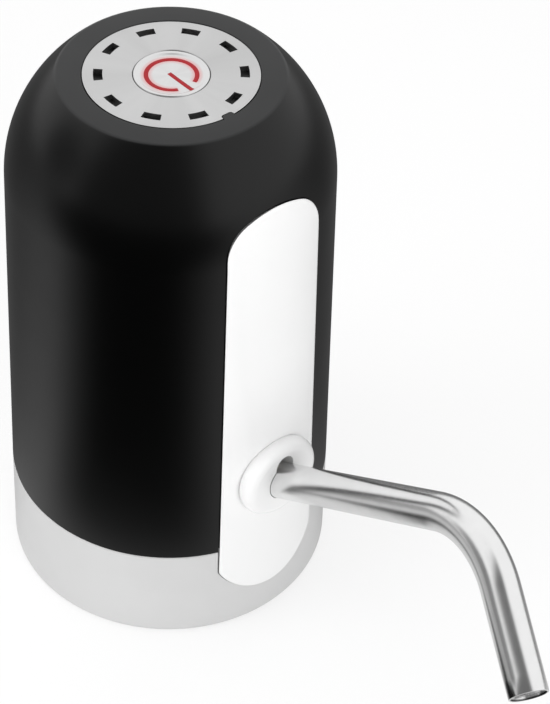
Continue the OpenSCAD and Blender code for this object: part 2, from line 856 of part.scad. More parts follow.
module valve_plate() {
    port_o = 2.6;
    color("whitesmoke") at_pump(valve_z) difference() {
        head_plate(valve_t);
        pump_screw_holes(valve_t);
        around(cup_angles, cup_ring_r) {
            translate([0, 0, -cut]) cylinder(r = valve_stem_r + screw_gap, h = valve_t + 2 * cut);
            around([60, 180, 300], inlet_valve_r - 0.9) translate([0, 0, -cut])
                cylinder(r = 0.5, h = valve_t + 2 * cut);
        }
        translate([0, 0, -cut]) cylinder(r = valve_stem_r + screw_gap, h = valve_t + 2 * cut);
        around(cup_angles, port_o) translate([0, 0, -cut]) cylinder(r = 0.6, h = valve_t + 2 * cut);
    }
}

// Rubber valve: a thin disc on a stem with a small head
module umbrella_valve(disc_r) {
    cylinder(r = disc_r, h = valve_disc_t);
    translate([0, 0, -valve_t]) cylinder(r = valve_stem_r, h = valve_t);
    translate([0, 0, -valve_t - 0.6]) cylinder(r = valve_stem_r + 0.25, h = 0.6);
}

module inlet_valves() {
    color("black") at_pump(sheet_z) around(cup_angles, cup_ring_r) umbrella_valve(inlet_valve_r);
}

module outlet_valve() {
    color("black") at_pump(valve_z) mirror([0, 0, 1]) umbrella_valve(outlet_valve_r);
}

module diaphragm() {
    cup_in_r = cup_r - cup_wall;
    stalk_top = wobble_z + wobble_lift + wobble_t + 0.6;
    color("#303030") at_pump(sheet_z) difference() {
        union() {
            head_plate(sheet_t);
            around(cup_angles, cup_ring_r) {
                cylinder(r = cup_r, h = sheet_t + cup_h);
                cylinder(r = stalk_r, h = stalk_top - sheet_z);
                translate([0, 0, stalk_top - sheet_z]) cylinder(r = stalk_head_r, h = stalk_head_t);
            }
        }
        pump_screw_holes(sheet_t);
        around(cup_angles, cup_ring_r) translate([0, 0, -cut])
            cylinder(r = cup_in_r, h = sheet_t + cup_h - cup_wall + cut);
        translate([0, 0, -cut]) cylinder(r = valve_stem_r + 0.6, h = sheet_t + 2 * cut);
    }
}

module cup_plate() {
    color("whitesmoke") at_pump(cup_plate_z) difference() {
        head_plate(cup_plate_t);
        pump_screw_holes(cup_plate_t);
        around(cup_angles, cup_ring_r) translate([0, 0, -cut])
            cylinder(r = cup_r + fit_gap, h = cup_plate_t + 2 * cut);
    }
}

module pump_housing() {
    color("whitesmoke") at_pump(housing_z) difference() {
        head_plate(housing_h);
        translate([0, 0, -cut]) cylinder(r = housing_bore_r, h = housing_h - housing_roof_t + cut);
        cylinder(r = boss_r + fit_gap, h = housing_h + cut);
        at_pump_screws() translate([0, 0, -cut])
            cylinder(r = pump_screw_r + screw_gap, h = pump_screw_hold + 0.5 + cut);
    }
}

module pump_screws() {
    color("silver") at_pump(pump_z) at_pump_screws() mirror([0, 0, 1])
        screw(pump_screw_r, pump_screw_l, pump_screw_head_r, pump_screw_head_t);
}

module wobble_plate() {
    color("white") at_crank_pin() difference() {
        union() {
            translate([0, 0, wobble_lift - wobble_t / 2]) cylinder(r = wobble_r, h = wobble_t);
            translate([0, 0, wobble_boss_low])
                cylinder(r = wobble_boss_r, h = wobble_boss_top - wobble_boss_low);
        }
        translate([0, 0, crank_pin_lo - run_gap])
            cylinder(r = crank_pin_r + run_gap, h = wobble_boss_top);
        around(cup_angles, cup_ring_r) translate([0, 0, wobble_lift - wobble_t])
            cylinder(r = stalk_hole_r, h = 2 * wobble_t);
        around([30, 150, 270], wobble_r) translate([0, 0, wobble_lift - wobble_t])
            cylinder(r = wobble_r / 2.4, h = 2 * wobble_t);
    }
}

// Drive

module crank_pin() {
    color("silver") at_crank_pin() translate([0, 0, crank_pin_lo])
        cylinder(r = crank_pin_r, h = crank_pin_hi - crank_pin_lo);
}

module crank_hub() {
    color("black") difference() {
        at_pump(crank_hub_z) cylinder(r = crank_hub_r, h = crank_hub_h);
        at_crank_pin() translate([0, 0, crank_pin_lo])
            cylinder(r = crank_pin_r + crank_fit, h = crank_pin_hi - crank_pin_lo);
        at_pump(shaft_low) cylinder(r = shaft_r + crank_fit, h = crank_hub_h + cut);
    }
}

module motor_shaft() {
    color("silver") at_pump(shaft_low) cylinder(r = shaft_r, h = shaft_top - shaft_low);
}

module armature() {
    color("peru") at_pump(armature_z) difference() {
        union() {
            cylinder(r = armature_r, h = armature_l);
            translate([0, 0, armature_l]) cylinder(r = commutator_r, h = commutator_l);
        }
        translate([0, 0, -cut]) cylinder(r = shaft_r + crank_fit, h = armature_l + commutator_l + 2 * cut);
        around([0, 120, 240], armature_r) translate([-1.6, -0.9, -cut])
            cube([2.6, 1.8, armature_l + 2 * cut]);
        around([0, 120, 240], armature_r - 2.6) translate([0, 0, -cut])
            cylinder(r = 1.9, h = armature_l + cut);
    }
}

module motor_can() {
    color("silver") at_pump(motor_z) difference() {
        union() {
            cylinder(r = motor_r, h = motor_l);
            translate([0, 0, -boss_h]) cylinder(r = boss_r, h = boss_h + cut);
        }
        translate([0, 0, can_wall]) cylinder(r = motor_r - can_wall, h = motor_l);
        translate([0, 0, -boss_h - cut]) cylinder(r = bush_r + screw_gap, h = boss_h + can_wall + 2 * cut);
    }
}

module motor_magnets() {
    out_r = motor_r - can_wall - glue_gap;
    color("#404040") at_pump(magnet_z) difference() {
        tube(out_r, out_r - magnet_t, magnet_l);
        for (a = [0, 180]) rotate(a) translate([0, -2.5, -cut]) cube([motor_r, 5, magnet_l + 2 * cut]);
    }
}

module motor_bushes() {
    color("goldenrod") {
        at_pump(motor_z - boss_h) tube(bush_r, shaft_r + run_gap, bush_h);
        at_pump(motor_top - end_cap_t) tube(bush_r, shaft_r + run_gap, end_cap_t);
    }
}

module motor_end_cap() {
    color("black") at_pump(motor_top - end_cap_t) difference() {
        cylinder(r = motor_r - can_wall - glue_gap, h = end_cap_t);
        translate([0, 0, -cut]) cylinder(r = bush_r + screw_gap, h = end_cap_t + 2 * cut);
        for (s = [-1, 1]) translate([s * terminal_o, 0, end_cap_t - terminal_hold / 2])
            cube([terminal_w + 2 * screw_gap, terminal_t + 2 * screw_gap, terminal_hold + screw_gap],
                center = true);
    }
}

module motor_terminals() {
    color("gold") at_pump(motor_top - terminal_hold) for (s = [-1, 1])
        translate([s * terminal_o, 0, terminal_h / 2])
            cube([terminal_w, terminal_t, terminal_h], center = true);
}

// Water path

module suction_tube() {
    color("whitesmoke", 0.6) translate([0, 0, floor_top + fitting_flange_t + fit_gap])
        tube(hose_spigot_r + glue_gap + hose_wall, hose_spigot_r + glue_gap,
            pump_z - floor_top - fitting_flange_t - 2 * fit_gap);
}

module outlet_elbow() {
    in_r = barb_r + glue_gap;
    out_r = in_r + elbow_wall;
    slant = outlet_angle + 90;
    start = (head_w + out_r * sin(slant)) / cos(slant) + fit_gap;
    color("whitesmoke", 0.6) at_pump(outlet_z) rotate(outlet_angle) {
        translate([start, 0, 0]) rotate([0, 90, 0]) tube(out_r, in_r, outlet_nozzle_end - start + bend_lap);
        translate([outlet_nozzle_end, 0, -elbow_r]) rotate([90, 0, 0]) rotate_extrude(angle = 90, start = 0)
            translate([elbow_r, 0]) difference() {
                circle(out_r - elbow_draw);
                circle(in_r - elbow_draw);
            }
        translate([outlet_reach, 0, -elbow_r - elbow_tail]) tube(out_r, in_r, elbow_tail + bend_lap);
    }
}

module spout_socket() {
    bore_r = spout_r + run_gap;
    groove_r = bore_r + 2 * o_ring_r + o_ring_groove / 2;
    groove_half = o_ring_r + o_ring_groove;
    color("gainsboro") difference() {
        union() {
            intersection() {
                spout_path(socket_r);
                skin_solid(-pocket_d - fit_gap, 0, body_h);
            }
            translate([0, -barb_y, barb_low]) cylinder(r = barb_r, h = barb_top - barb_low);
            translate([-socket_foot_w / 2, -barb_y - socket_foot_l / 2, floor_top])
                cube([socket_foot_w, socket_foot_l, barb_low - floor_top]);
        }
        at_spout() {
            translate([0, 0, socket_stop]) cylinder(r = bore_r, h = spout_run);
            translate([0, 0, socket_back + 1.5]) cylinder(r = spout_r - spout_wall - 0.6, h = -socket_back);
            for (s = o_ring_places) translate([0, 0, s - groove_half])
                cylinder(r = groove_r, h = 2 * groove_half);
        }
        translate([0, -barb_y, barb_low]) cylinder(r = barb_water_r, h = barb_top);
    }
}

module spout_o_rings() {
    color("black") at_spout() for (s = o_ring_places) translate([0, 0, s]) rotate_extrude()
        translate([spout_r + run_gap + o_ring_r, 0]) circle(o_ring_r);
}

module spout_tube() {
    in_r = spout_r - spout_wall;
    root = socket_stop + tube_stop_gap;
    leg = spout_drop - tip_edge;
    color("silver") at_spout() rotate(270 - spout_turn) {
        translate([0, 0, root]) tube(spout_r, in_r, spout_run - root + bend_lap);
        translate([spout_bend_r, 0, spout_run]) {
            rotate([90, 0, 0]) rotate_extrude(angle = spout_bend, start = 180 - spout_bend)
                translate([spout_bend_r, 0]) difference() {
                    circle(spout_r - bend_draw);
                    circle(in_r - bend_draw);
                }
            rotate([0, spout_bend, 0]) translate([-spout_bend_r, 0, 0]) difference() {
                union() {
                    translate([0, 0, -bend_lap]) cylinder(r = spout_r, h = leg + bend_lap);
                    translate([0, 0, leg]) cylinder(r1 = spout_r, r2 = spout_r - tip_edge, h = tip_edge);
                }
                translate([0, 0, -cut]) cylinder(r = in_r, h = spout_drop + 2 * cut);
            }
        }
    }
}

// Power

module battery_cell() {
    color("mediumseagreen") translate([cell_x, cell_y, cell_z]) {
        cylinder(r = cell_r, h = cell_l);
        translate([0, 0, cell_l]) cylinder(r = nub_r, h = nub_h);
    }
}

module battery_tabs() {
    color("silver") translate([cell_x, cell_y, 0]) rotate(cell_angle) {
        translate([-tab_l + tab_w / 2, -tab_w / 2, cell_z - tab_t]) cube([tab_l, tab_w, tab_t]);
        translate([-tab_w / 2, -tab_w / 2, cell_top + nub_h]) cube([tab_w, tab_w, tab_t]);
    }
}

module charge_board() {
    color("darkgreen") translate([-charge_board_w / 2, charge_board_y, charge_board_z])
        cube([charge_board_w, charge_board_end - charge_board_y, charge_board_t]);
}

module usb_socket() {
    color("silver") translate([0, usb_back_y, usb_z]) difference() {
        translate([-usb_w / 2, 0, -usb_t / 2]) cube([usb_w, usb_l, usb_t]);
        translate([-usb_w / 2 + usb_wall, usb_wall, -usb_t / 2 + usb_wall])
            cube([usb_w - 2 * usb_wall, usb_l, usb_t - 2 * usb_wall]);
    }
}

// Way of a lead from one point up to another: upright at both ends, with a soft swing between
function lead_way(a, b) = concat(
    [a],
    [for (i = [0:lead_steps])
        let (t = i / lead_steps, swing = t * t * (3 - 2 * t))
        [
            a[0] + (b[0] - a[0]) * swing,
            a[1] + (b[1] - a[1]) * swing,
            a[2] + lead_stub + (b[2] - a[2] - 2 * lead_stub) * t
        ]
    ],
    [b]
);

// Leads: plus and minus of the cell, both motor terminals, and both poles of the charging board
battery_plus = lead_way(
    [cell_x, cell_y, cell_top + nub_h + tab_t],
    [0.66 * board_r, 0.16 * board_r, board_z]
);
battery_minus = concat(
    lead_way([minus_pad[0], minus_pad[1], cell_z], [minus_way[0], minus_way[1], damper_z - damper_h]),
    lead_way([minus_way[0], minus_way[1], damper_z + damper_h], [0.52 * board_r, -0.49 * board_r, board_z])
);
motor_leads_routes = [
    for (s = [-1, 1]) lead_way(
        [pump_x + s * terminal_o, pump_y, motor_top - terminal_hold + terminal_h],
        [pump_x + s * terminal_o, pump_y, board_z]
    )
];
charge_leads_routes = [
    for (s = [-1, 1]) concat(
        lead_way(
            [s - 1, charge_board_y + 1.5, charge_board_z + charge_board_t],
            [s - 2, charge_way_y, motor_z]
        ),
        lead_way([s - 2, charge_way_y, damper_z], [s - 0.27 * board_r, 0.88 * board_r, board_z])
    )
];

module battery_leads() {
    color("red") {
        lead(battery_plus, [1, 0, 0]);
        lead(battery_minus, [1, 0, 0]);
    }
}

module motor_leads() {
    color("black") for (p = motor_leads_routes) lead(p, [1, 0, 0]);
}

module charge_leads() {
    color("red") for (p = charge_leads_routes) lead(p, [1, 0, 0]);
}

base_ring();
neck_seal();
floor_plate();
suction_fitting();
base_screws();
outer_shell();
front_panel();
spout_collar();
spout_socket();
spout_o_rings();
spout_tube();
top_plate();
power_button();
switch_plunger();
switch_body();
status_led();
control_board();
board_screws();
inner_frame();
pump_damper();
pump_cover();
valve_plate();
inlet_valves();
outlet_valve();
diaphragm();
cup_plate();
pump_housing();
pump_screws();
wobble_plate();
crank_pin();
crank_hub();
motor_shaft();
armature();
motor_can();
motor_magnets();
motor_bushes();
motor_end_cap();
motor_terminals();
suction_tube();
outlet_elbow();
battery_cell();
battery_tabs();
charge_board();
usb_socket();
battery_leads();
motor_leads();
charge_leads();
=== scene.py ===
"""Dressed model of an electric water jug pump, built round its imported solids."""

import logging
import math
from dataclasses import dataclass
from enum import Enum
from typing import Callable, Iterable, Sequence

import bpy
from mathutils import Matrix, Vector


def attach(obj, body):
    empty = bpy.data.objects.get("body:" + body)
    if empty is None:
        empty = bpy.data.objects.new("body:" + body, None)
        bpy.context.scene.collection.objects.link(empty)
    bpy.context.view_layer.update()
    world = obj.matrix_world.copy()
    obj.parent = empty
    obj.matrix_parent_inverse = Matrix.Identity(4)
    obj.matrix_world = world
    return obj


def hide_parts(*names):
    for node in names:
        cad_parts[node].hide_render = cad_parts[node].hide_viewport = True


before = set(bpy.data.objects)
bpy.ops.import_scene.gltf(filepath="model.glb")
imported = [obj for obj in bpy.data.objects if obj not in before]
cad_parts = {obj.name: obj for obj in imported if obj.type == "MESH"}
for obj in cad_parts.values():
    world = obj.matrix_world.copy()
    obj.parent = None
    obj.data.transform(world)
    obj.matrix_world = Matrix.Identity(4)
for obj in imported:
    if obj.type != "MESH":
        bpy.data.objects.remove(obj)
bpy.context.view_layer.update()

MM = 0.001
TURN_STEPS = 192
MERGE = 2e-6
SOFT_ANGLE = 40.0
BEVEL_ANGLE = 50.0
Obj = bpy.types.Object
Node = bpy.types.Node
Socket = bpy.types.NodeSocket
Tree = bpy.types.NodeTree
Point = tuple[float, float]
Place = tuple[float, float, float]
Rgba = tuple[float, float, float, float]
log = logging.getLogger("jug_pump")


class Cut(Enum):
    """Ways in which a tool body shapes a piece."""

    TAKE = "DIFFERENCE"
    JOIN = "UNION"


class Body(Enum):
    """Moving bodies of the frame that pieces ride on."""

    HOUSING = "housing"
    SPOUT = "spout"
    BUTTON = "button"


# Hand tools

def metres(way: Iterable[float]) -> tuple[float, ...]:
    """Gives a place or a way in metres from one in mm."""
    return tuple(part * MM for part in way)


def free_hands() -> None:
    """Leaves edit mode and drops the selection."""
    if bpy.context.object and bpy.context.object.mode != "OBJECT":
        bpy.ops.object.mode_set(mode="OBJECT")
    bpy.ops.object.select_all(action="DESELECT")


def take(obj: Obj) -> None:
    """Makes one object the only selected and active one.

    Args:
        obj: Object to take.
    """
    free_hands()
    obj.select_set(True)
    bpy.context.view_layer.objects.active = obj


def edit(obj: Obj, kind: str = "VERT") -> None:
    """Opens a mesh for editing with all of it selected.

    Args:
        obj: Object whose mesh is edited.
        kind: VERT, EDGE or FACE.
    """
    take(obj)
    bpy.ops.object.mode_set(mode="EDIT")
    bpy.ops.mesh.select_mode(type=kind)
    bpy.ops.mesh.select_all(action="SELECT")


def edit_edges(obj: Obj, test: Callable[[Vector, Vector], bool]) -> None:
    """Opens a mesh for editing with some of its edges selected.

    Args:
        obj: Object whose mesh is edited.
        test: Says from an edge's middle and its run whether it is wanted.
    """
    edit(obj, "EDGE")
    bpy.ops.mesh.select_all(action="DESELECT")
    bpy.ops.object.mode_set(mode="OBJECT")
    corners = obj.data.vertices
    for edge in obj.data.edges:
        a, b = (corners[i].co for i in edge.vertices)
        edge.select = test((a + b) / 2, b - a)
    bpy.ops.object.mode_set(mode="EDIT")


def started(name: str) -> Obj:
    """Names the primitive that was just added and puts its place into its mesh.

    Args:
        name: Name of the piece.

    Returns:
        The new object.
    """
    obj = bpy.context.object
    obj.name = name
    obj.data.name = name
    bpy.ops.object.transform_apply(location=True, rotation=True, scale=True)
    return obj


def apply(obj: Obj, kind: str, **values: object) -> None:
    """Adds one modifier with its values and applies it at once.

    Args:
        obj: Object that gets the modifier.
        kind: Type of the modifier.
        values: Settings of the modifier by name.
    """
    take(obj)
    modifier = obj.modifiers.new(kind.lower(), kind)
    for name, value in values.items():
        setattr(modifier, name, value)
    bpy.ops.object.modifier_apply(modifier=modifier.name)


def carve(obj: Obj, tool: Obj, cut: Cut, keep: bool = False) -> None:
    """Shapes a piece with a closed tool body.

    Args:
        obj: Piece to shape.
        tool: Closed body that cuts.
        cut: Whether the tool takes away what it covers or is joined on.
        keep: Leaves the tool for further cuts.
    """
    apply(obj, "BOOLEAN", operation=cut.value, solver="EXACT", object=tool)
    if not keep:
        bpy.data.objects.remove(tool)


def clean(obj: Obj, angle: float = 32.0) -> None:
    """Merges doubles, turns the faces outwards and smooths all but the sharp edges.

    Args:
        obj: Piece to clean.
        angle: Edges that turn by more degrees stay sharp.
    """
    edit(obj)
    bpy.ops.mesh.remove_doubles(threshold=MERGE)
    bpy.ops.mesh.dissolve_degenerate(threshold=MERGE)
    bpy.ops.mesh.normals_make_consistent(inside=False)
    bpy.ops.object.mode_set(mode="OBJECT")
    bpy.ops.object.shade_smooth_by_angle(angle=math.radians(angle))


def face(obj: Obj, way: Place) -> None:
    """Turns a sheet over where its faces look away from a direction.

    Args:
        obj: The sheet.
        way: Direction that its faces should look along.
    """
    if sum(f.normal.dot(way) * f.area for f in obj.data.polygons) < 0:
        edit(obj, "FACE")
        bpy.ops.mesh.flip_normals()
        bpy.ops.object.mode_set(mode="OBJECT")


def bevel_sharp(obj: Obj, width: float) -> None:
    """Rounds every sharp edge of a piece.

    Args:
        obj: Piece to round.
        width: Width of the rounding in mm.
    """
    apply(obj, "BEVEL", width=width * MM, segments=2, limit_method="ANGLE",
          angle_limit=math.radians(BEVEL_ANGLE))


def settle(obj: Obj, matrix: Matrix) -> None:
    """Puts a piece in its place and leaves its object at the origin.

    Args:
        obj: Piece modelled about the origin.
        matrix: Where it goes.
    """
    take(obj)
    obj.matrix_world = matrix
    bpy.ops.object.transform_apply(location=True, rotation=True, scale=True)


def draw_out(way: Sequence[float]) -> None:
    """Extrudes the selected edges by a way in mm."""
    bpy.ops.mesh.extrude_edges_move(TRANSFORM_OT_translate={"value": metres(way)})


def turned(name: str, outline: Sequence[Point], steps: int = TURN_STEPS) -> Obj:
    """Raises rings from a circle along a half outline, as on a lathe about Z.

    Args:
        name: Name of the piece.
        outline: Radius and height of each ring in mm. A ring of radius 0 closes that end, and
            an outline that ends where it starts makes a closed ring.
        steps: Sides of each ring.

    Returns:
        The turned piece.
    """
    filled = outline[0][0] == 0
    rings = outline[1:] if filled else outline
    free_hands()
    bpy.ops.mesh.primitive_circle_add(vertices=steps, radius=rings[0][0] * MM,
                                      fill_type="TRIFAN" if filled else "NOTHING",
                                      location=(0, 0, rings[0][1] * MM))
    obj = started(name)
    edit(obj, "EDGE")
    if filled:
        bpy.ops.mesh.region_to_loop()
    for (r_a, z_a), (r_b, z_b) in zip(rings, rings[1:]):
        draw_out((0, 0, z_b - z_a))
        if r_b == 0:
            bpy.ops.mesh.merge(type="CENTER")
        elif r_b != r_a:
            bpy.ops.transform.resize(value=(r_b / r_a, r_b / r_a, 1),
                                     center_override=(0, 0, z_b * MM))
    clean(obj)
    return obj


def strung(name: str, points: Sequence[Vector]) -> Obj:
    """Draws an open line from point to point.

    Args:
        name: Name of the piece.
        points: Corners in mm, in order.

    Returns:
        The line, open for editing with all of it selected.
    """
    free_hands()
    bpy.ops.mesh.primitive_plane_add(size=MM, location=points[0] * MM)
    obj = started(name)
    edit(obj)
    bpy.ops.mesh.merge(type="CENTER")
    for a, b in zip(points, points[1:]):
        bpy.ops.mesh.extrude_vertices_move(TRANSFORM_OT_translate={"value": (b - a) * MM})
    bpy.ops.mesh.select_all(action="SELECT")
    return obj


def traced(name: str, points: Sequence[Vector]) -> Obj:
    """Draws a closed line through points and fills it with one face.

    Args:
        name: Name of the piece.
        points: Corners in mm, in order.

    Returns:
        The flat face as an object.
    """
    obj = strung(name, points)
    bpy.ops.mesh.edge_face_add()
    bpy.ops.object.mode_set(mode="OBJECT")
    return obj


def deepened(obj: Obj, way: Place) -> Obj:
    """Draws a sheet out into a closed body.

    Args:
        obj: The sheet.
        way: How far it is drawn, in mm.

    Returns:
        The same object, closed.
    """
    edit(obj, "FACE")
    bpy.ops.mesh.extrude_region_move(TRANSFORM_OT_translate={"value": metres(way)})
    clean(obj)
    return obj


def arc(centre: Point, r: float, start: float, end: float, n: int) -> list[Point]:
    """Points along an arc.

    Args:
        centre: Middle of the arc.
        r: Radius.
        start: First angle in degrees.
        end: Last angle in degrees.
        n: Number of steps.

    Returns:
        The n + 1 points.
    """
    angles = [math.radians(start + (end - start) * i / n) for i in range(n + 1)]
    return [(centre[0] + r * math.cos(a), centre[1] + r * math.sin(a)) for a in angles]


def softened(a: Point, corner: Point, b: Point, r: float, n: int = 4) -> list[Point]:
    """Rounds one corner of an outline.

    Args:
        a: Point before the corner.
        corner: The sharp corner.
        b: Point after it.
        r: How far from the corner the rounding starts on both sides.
        n: Number of steps.

    Returns:
        Points of the rounded corner.
    """
    middle = Vector(corner)
    first = middle + (Vector(a) - middle).normalized() * r
    last = middle + (Vector(b) - middle).normalized() * r
    shares = [i / n for i in range(n + 1)]
    curve = [first * (1 - t) ** 2 + middle * 2 * t * (1 - t) + last * t ** 2 for t in shares]
    return [(p.x, p.y) for p in curve]


def ready(obj: Obj, body: Body, slot: str, *nodes: str) -> Obj:
    """Hands a finished piece to the frame.

    Args:
        obj: Finished piece.
        body: Body that it moves with.
        slot: Material slot of the record. Not used.
        nodes: Solids that it stands for.

    Returns:
        The same piece.
    """
    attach(obj, body.value)
    if nodes:
        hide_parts(*nodes)
    log.info("%s: %d faces, rides on %s, stands for %s", obj.name, len(obj.data.polygons),
             body.value, ", ".join(nodes) or "nothing")
    return obj


# Shader nodes and finishes

class Net:
    """Node tree with short ways to add the nodes that are used most."""

    def __init__(self, tree: Tree) -> None:
        """Takes the tree that is built."""
        self.tree = tree

    def feed(self, node: Node, inputs: dict) -> None:
        """Links or sets inputs of a node.

        Args:
            node: The node.
            inputs: Socket or constant of each input, by the input's name or index.
        """
        for key, value in inputs.items():
            if isinstance(value, Socket):
                self.tree.links.new(value, node.inputs[key])
            else:
                node.inputs[key].default_value = value

    def add(self, kind: str, inputs: dict | None = None, **settings: object) -> Node:
        """Adds a shader node.

        Args:
            kind: Its type, without the common prefix.
            inputs: Socket or constant of each input.
            settings: Other settings by name, such as the operation.

        Returns:
            The node.
        """
        node = self.tree.nodes.new("ShaderNode" + kind)
        for name, value in settings.items():
            setattr(node, name, value)
        self.feed(node, inputs or {})
        return node

    def calc(self, operation: str, *terms: object) -> Socket:
        """Adds a math node on sockets or numbers and gives its result."""
        return self.add("Math", dict(enumerate(terms)), operation=operation).outputs[0]

    def step(self, value: Socket, low: float, high: float, start: float = 0.0,
             end: float = 1.0) -> Socket:
        """Adds a smooth step.

        Args:
            value: What is measured.
            low: Value at which the step starts.
            high: Value at which it ends.
            start: Result before the step.
            end: Result after it.

        Returns:
            The result's socket.
        """
        inputs = {"Value": value, "From Min": low, "From Max": high, "To Min": start, "To Max": end}
        return self.add("MapRange", inputs, interpolation_type="SMOOTHSTEP").outputs["Result"]

    def dot(self, way: Socket, axis: Place) -> Socket:
        """Gives the share of a direction that runs along a fixed axis."""
        return self.add("VectorMath", {0: way, 1: axis}, operation="DOT_PRODUCT").outputs["Value"]

    def mix(self, share: Socket, a: object, b: object) -> Socket:
        """Mixes two colours or their sockets, with a share of the second one."""
        inputs = {"Factor": share, "A": a, "B": b}
        return self.add("Mix", inputs, data_type="RGBA").outputs["Result"]

    def part(self, place: Socket, name: str) -> Socket:
        """Gives the X, Y or Z of a place."""
        return self.add("SeparateXYZ", {"Vector": place}).outputs[name]

    def polar(self, place: Socket, first: str = "X", second: str = "Y") -> tuple[Socket, ...]:
        """Splits a place into two of its parts and their distance from the axis.

        Args:
            place: The place.
            first: Name of the first part.
            second: Name of the second part.

        Returns:
            Sockets of the first part, the second part and the distance.
        """
        a, b = self.part(place, first), self.part(place, second)
        squares = [self.calc("MULTIPLY", c, c) for c in (a, b)]
        return a, b, self.calc("SQRT", self.calc("ADD", *squares))

    def noise(self, place: Socket, scale: Socket, share: float, detail: float) -> Socket:
        """Adds a noise texture.

        Args:
            place: Where it is read.
            scale: Scale of the pattern.
            share: Part of that scale.
            detail: Detail of the noise.

        Returns:
            The noise's value.
        """
        inputs = {"Vector": place, "Scale": self.calc("MULTIPLY", scale, share), "Detail": detail}
        return self.add("TexNoise", inputs).outputs["Fac"]


class Pattern(Enum):
    """Surface patterns, each of them one shader group."""

    MOULDED = "moulded_surface"
    SPUN = "spun_surface"
    DRAWN = "drawn_surface"


class PatternShop:
    """Builds each surface pattern once, as a shader group."""

    IN = {"Vector": "Vector", "Scale": "Float", "Light tone": "Color", "Dark tone": "Color",
          "Smoothest": "Float", "Roughest": "Float"}
    OUT = {"Color": "Color", "Roughness": "Float", "Height": "Float"}
    LEAST, MOST = 0.5, 1.5

    def group(self, pattern: Pattern) -> Tree:
        """Gives the group of a pattern.

        Args:
            pattern: Which pattern.

        Returns:
            The shader group with its sockets.
        """
        if pattern.value in bpy.data.node_groups:
            return bpy.data.node_groups[pattern.value]
        tree = bpy.data.node_groups.new(pattern.value, "ShaderNodeTree")
        for sockets, side in ((self.IN, "INPUT"), (self.OUT, "OUTPUT")):
            for name, kind in sockets.items():
                tree.interface.new_socket(name, in_out=side, socket_type="NodeSocket" + kind)
        given = tree.nodes.new("NodeGroupInput").outputs
        net = Net(tree)
        draw = {Pattern.MOULDED: self.moulded, Pattern.SPUN: self.spun, Pattern.DRAWN: self.drawn}
        fine, broad = draw[pattern](net, given["Vector"], given["Scale"])
        span = net.add("MapRange", {
            "Value": net.calc("ADD", fine, broad), "From Min": self.LEAST, "From Max": self.MOST,
            "To Min": given["Smoothest"], "To Max": given["Roughest"],
        })
        net.feed(tree.nodes.new("NodeGroupOutput"), {
            "Color": net.mix(broad, given["Light tone"], given["Dark tone"]),
            "Roughness": span.outputs["Result"], "Height": fine,
        })
        return tree

    @staticmethod
    def moulded(net: Net, place: Socket, scale: Socket) -> tuple[Socket, Socket]:
        """Gives the fine even grain of a mould, and broad faint flow clouds."""
        return net.noise(place, scale, 1.0, 3.0), net.noise(place, scale, 0.02, 2.0)

    @staticmethod
    def spun(net: Net, place: Socket, scale: Socket) -> tuple[Socket, Socket]:
        """Fine rings about Z, as a spinning brush leaves them, and a broad fan of painted sheen that turns
        with the angle, as the highlights of spun metal do.

        Args:
            net: Net of the group.
            place: Socket of the place.
            scale: Socket of the scale.

        Returns:
            Sockets of the fine rings and of the broad painted sheen.
        """
        x, y, radius = net.polar(place)
        along = net.calc("MULTIPLY", net.calc("ARCTAN2", y, x), 0.0004)
        ring = net.add("CombineXYZ", {"X": radius, "Y": along}).outputs["Vector"]
        turn = {"X": net.calc("DIVIDE", x, radius), "Y": net.calc("DIVIDE", y, radius)}
        fan = net.add("CombineXYZ", turn).outputs["Vector"]
        # The broad noise read by angle about Z is painted sheen, the fan of highlights on spun metal.
        return net.noise(ring, scale, 1.0, 2.0), net.noise(fan, scale, 0.00012, 3.0)

    @staticmethod
    def drawn(net: Net, place: Socket, scale: Socket) -> tuple[Socket, Socket]:
        """Long fine lines along Y, as drawing through a die leaves them, and broad clouds.

        Args:
            net: Net of the group.
            place: Socket of the place.
            scale: Socket of the scale.

        Returns:
            Sockets of the fine and of the broad part.
        """
        stretch = net.add("VectorMath", {0: place, 1: (1.0, 0.01, 1.0)}, operation="MULTIPLY")
        fine = net.noise(stretch.outputs["Vector"], scale, 1.0, 2.0)
        return fine, net.noise(place, scale, 0.05, 2.0)


SHOP = PatternShop()


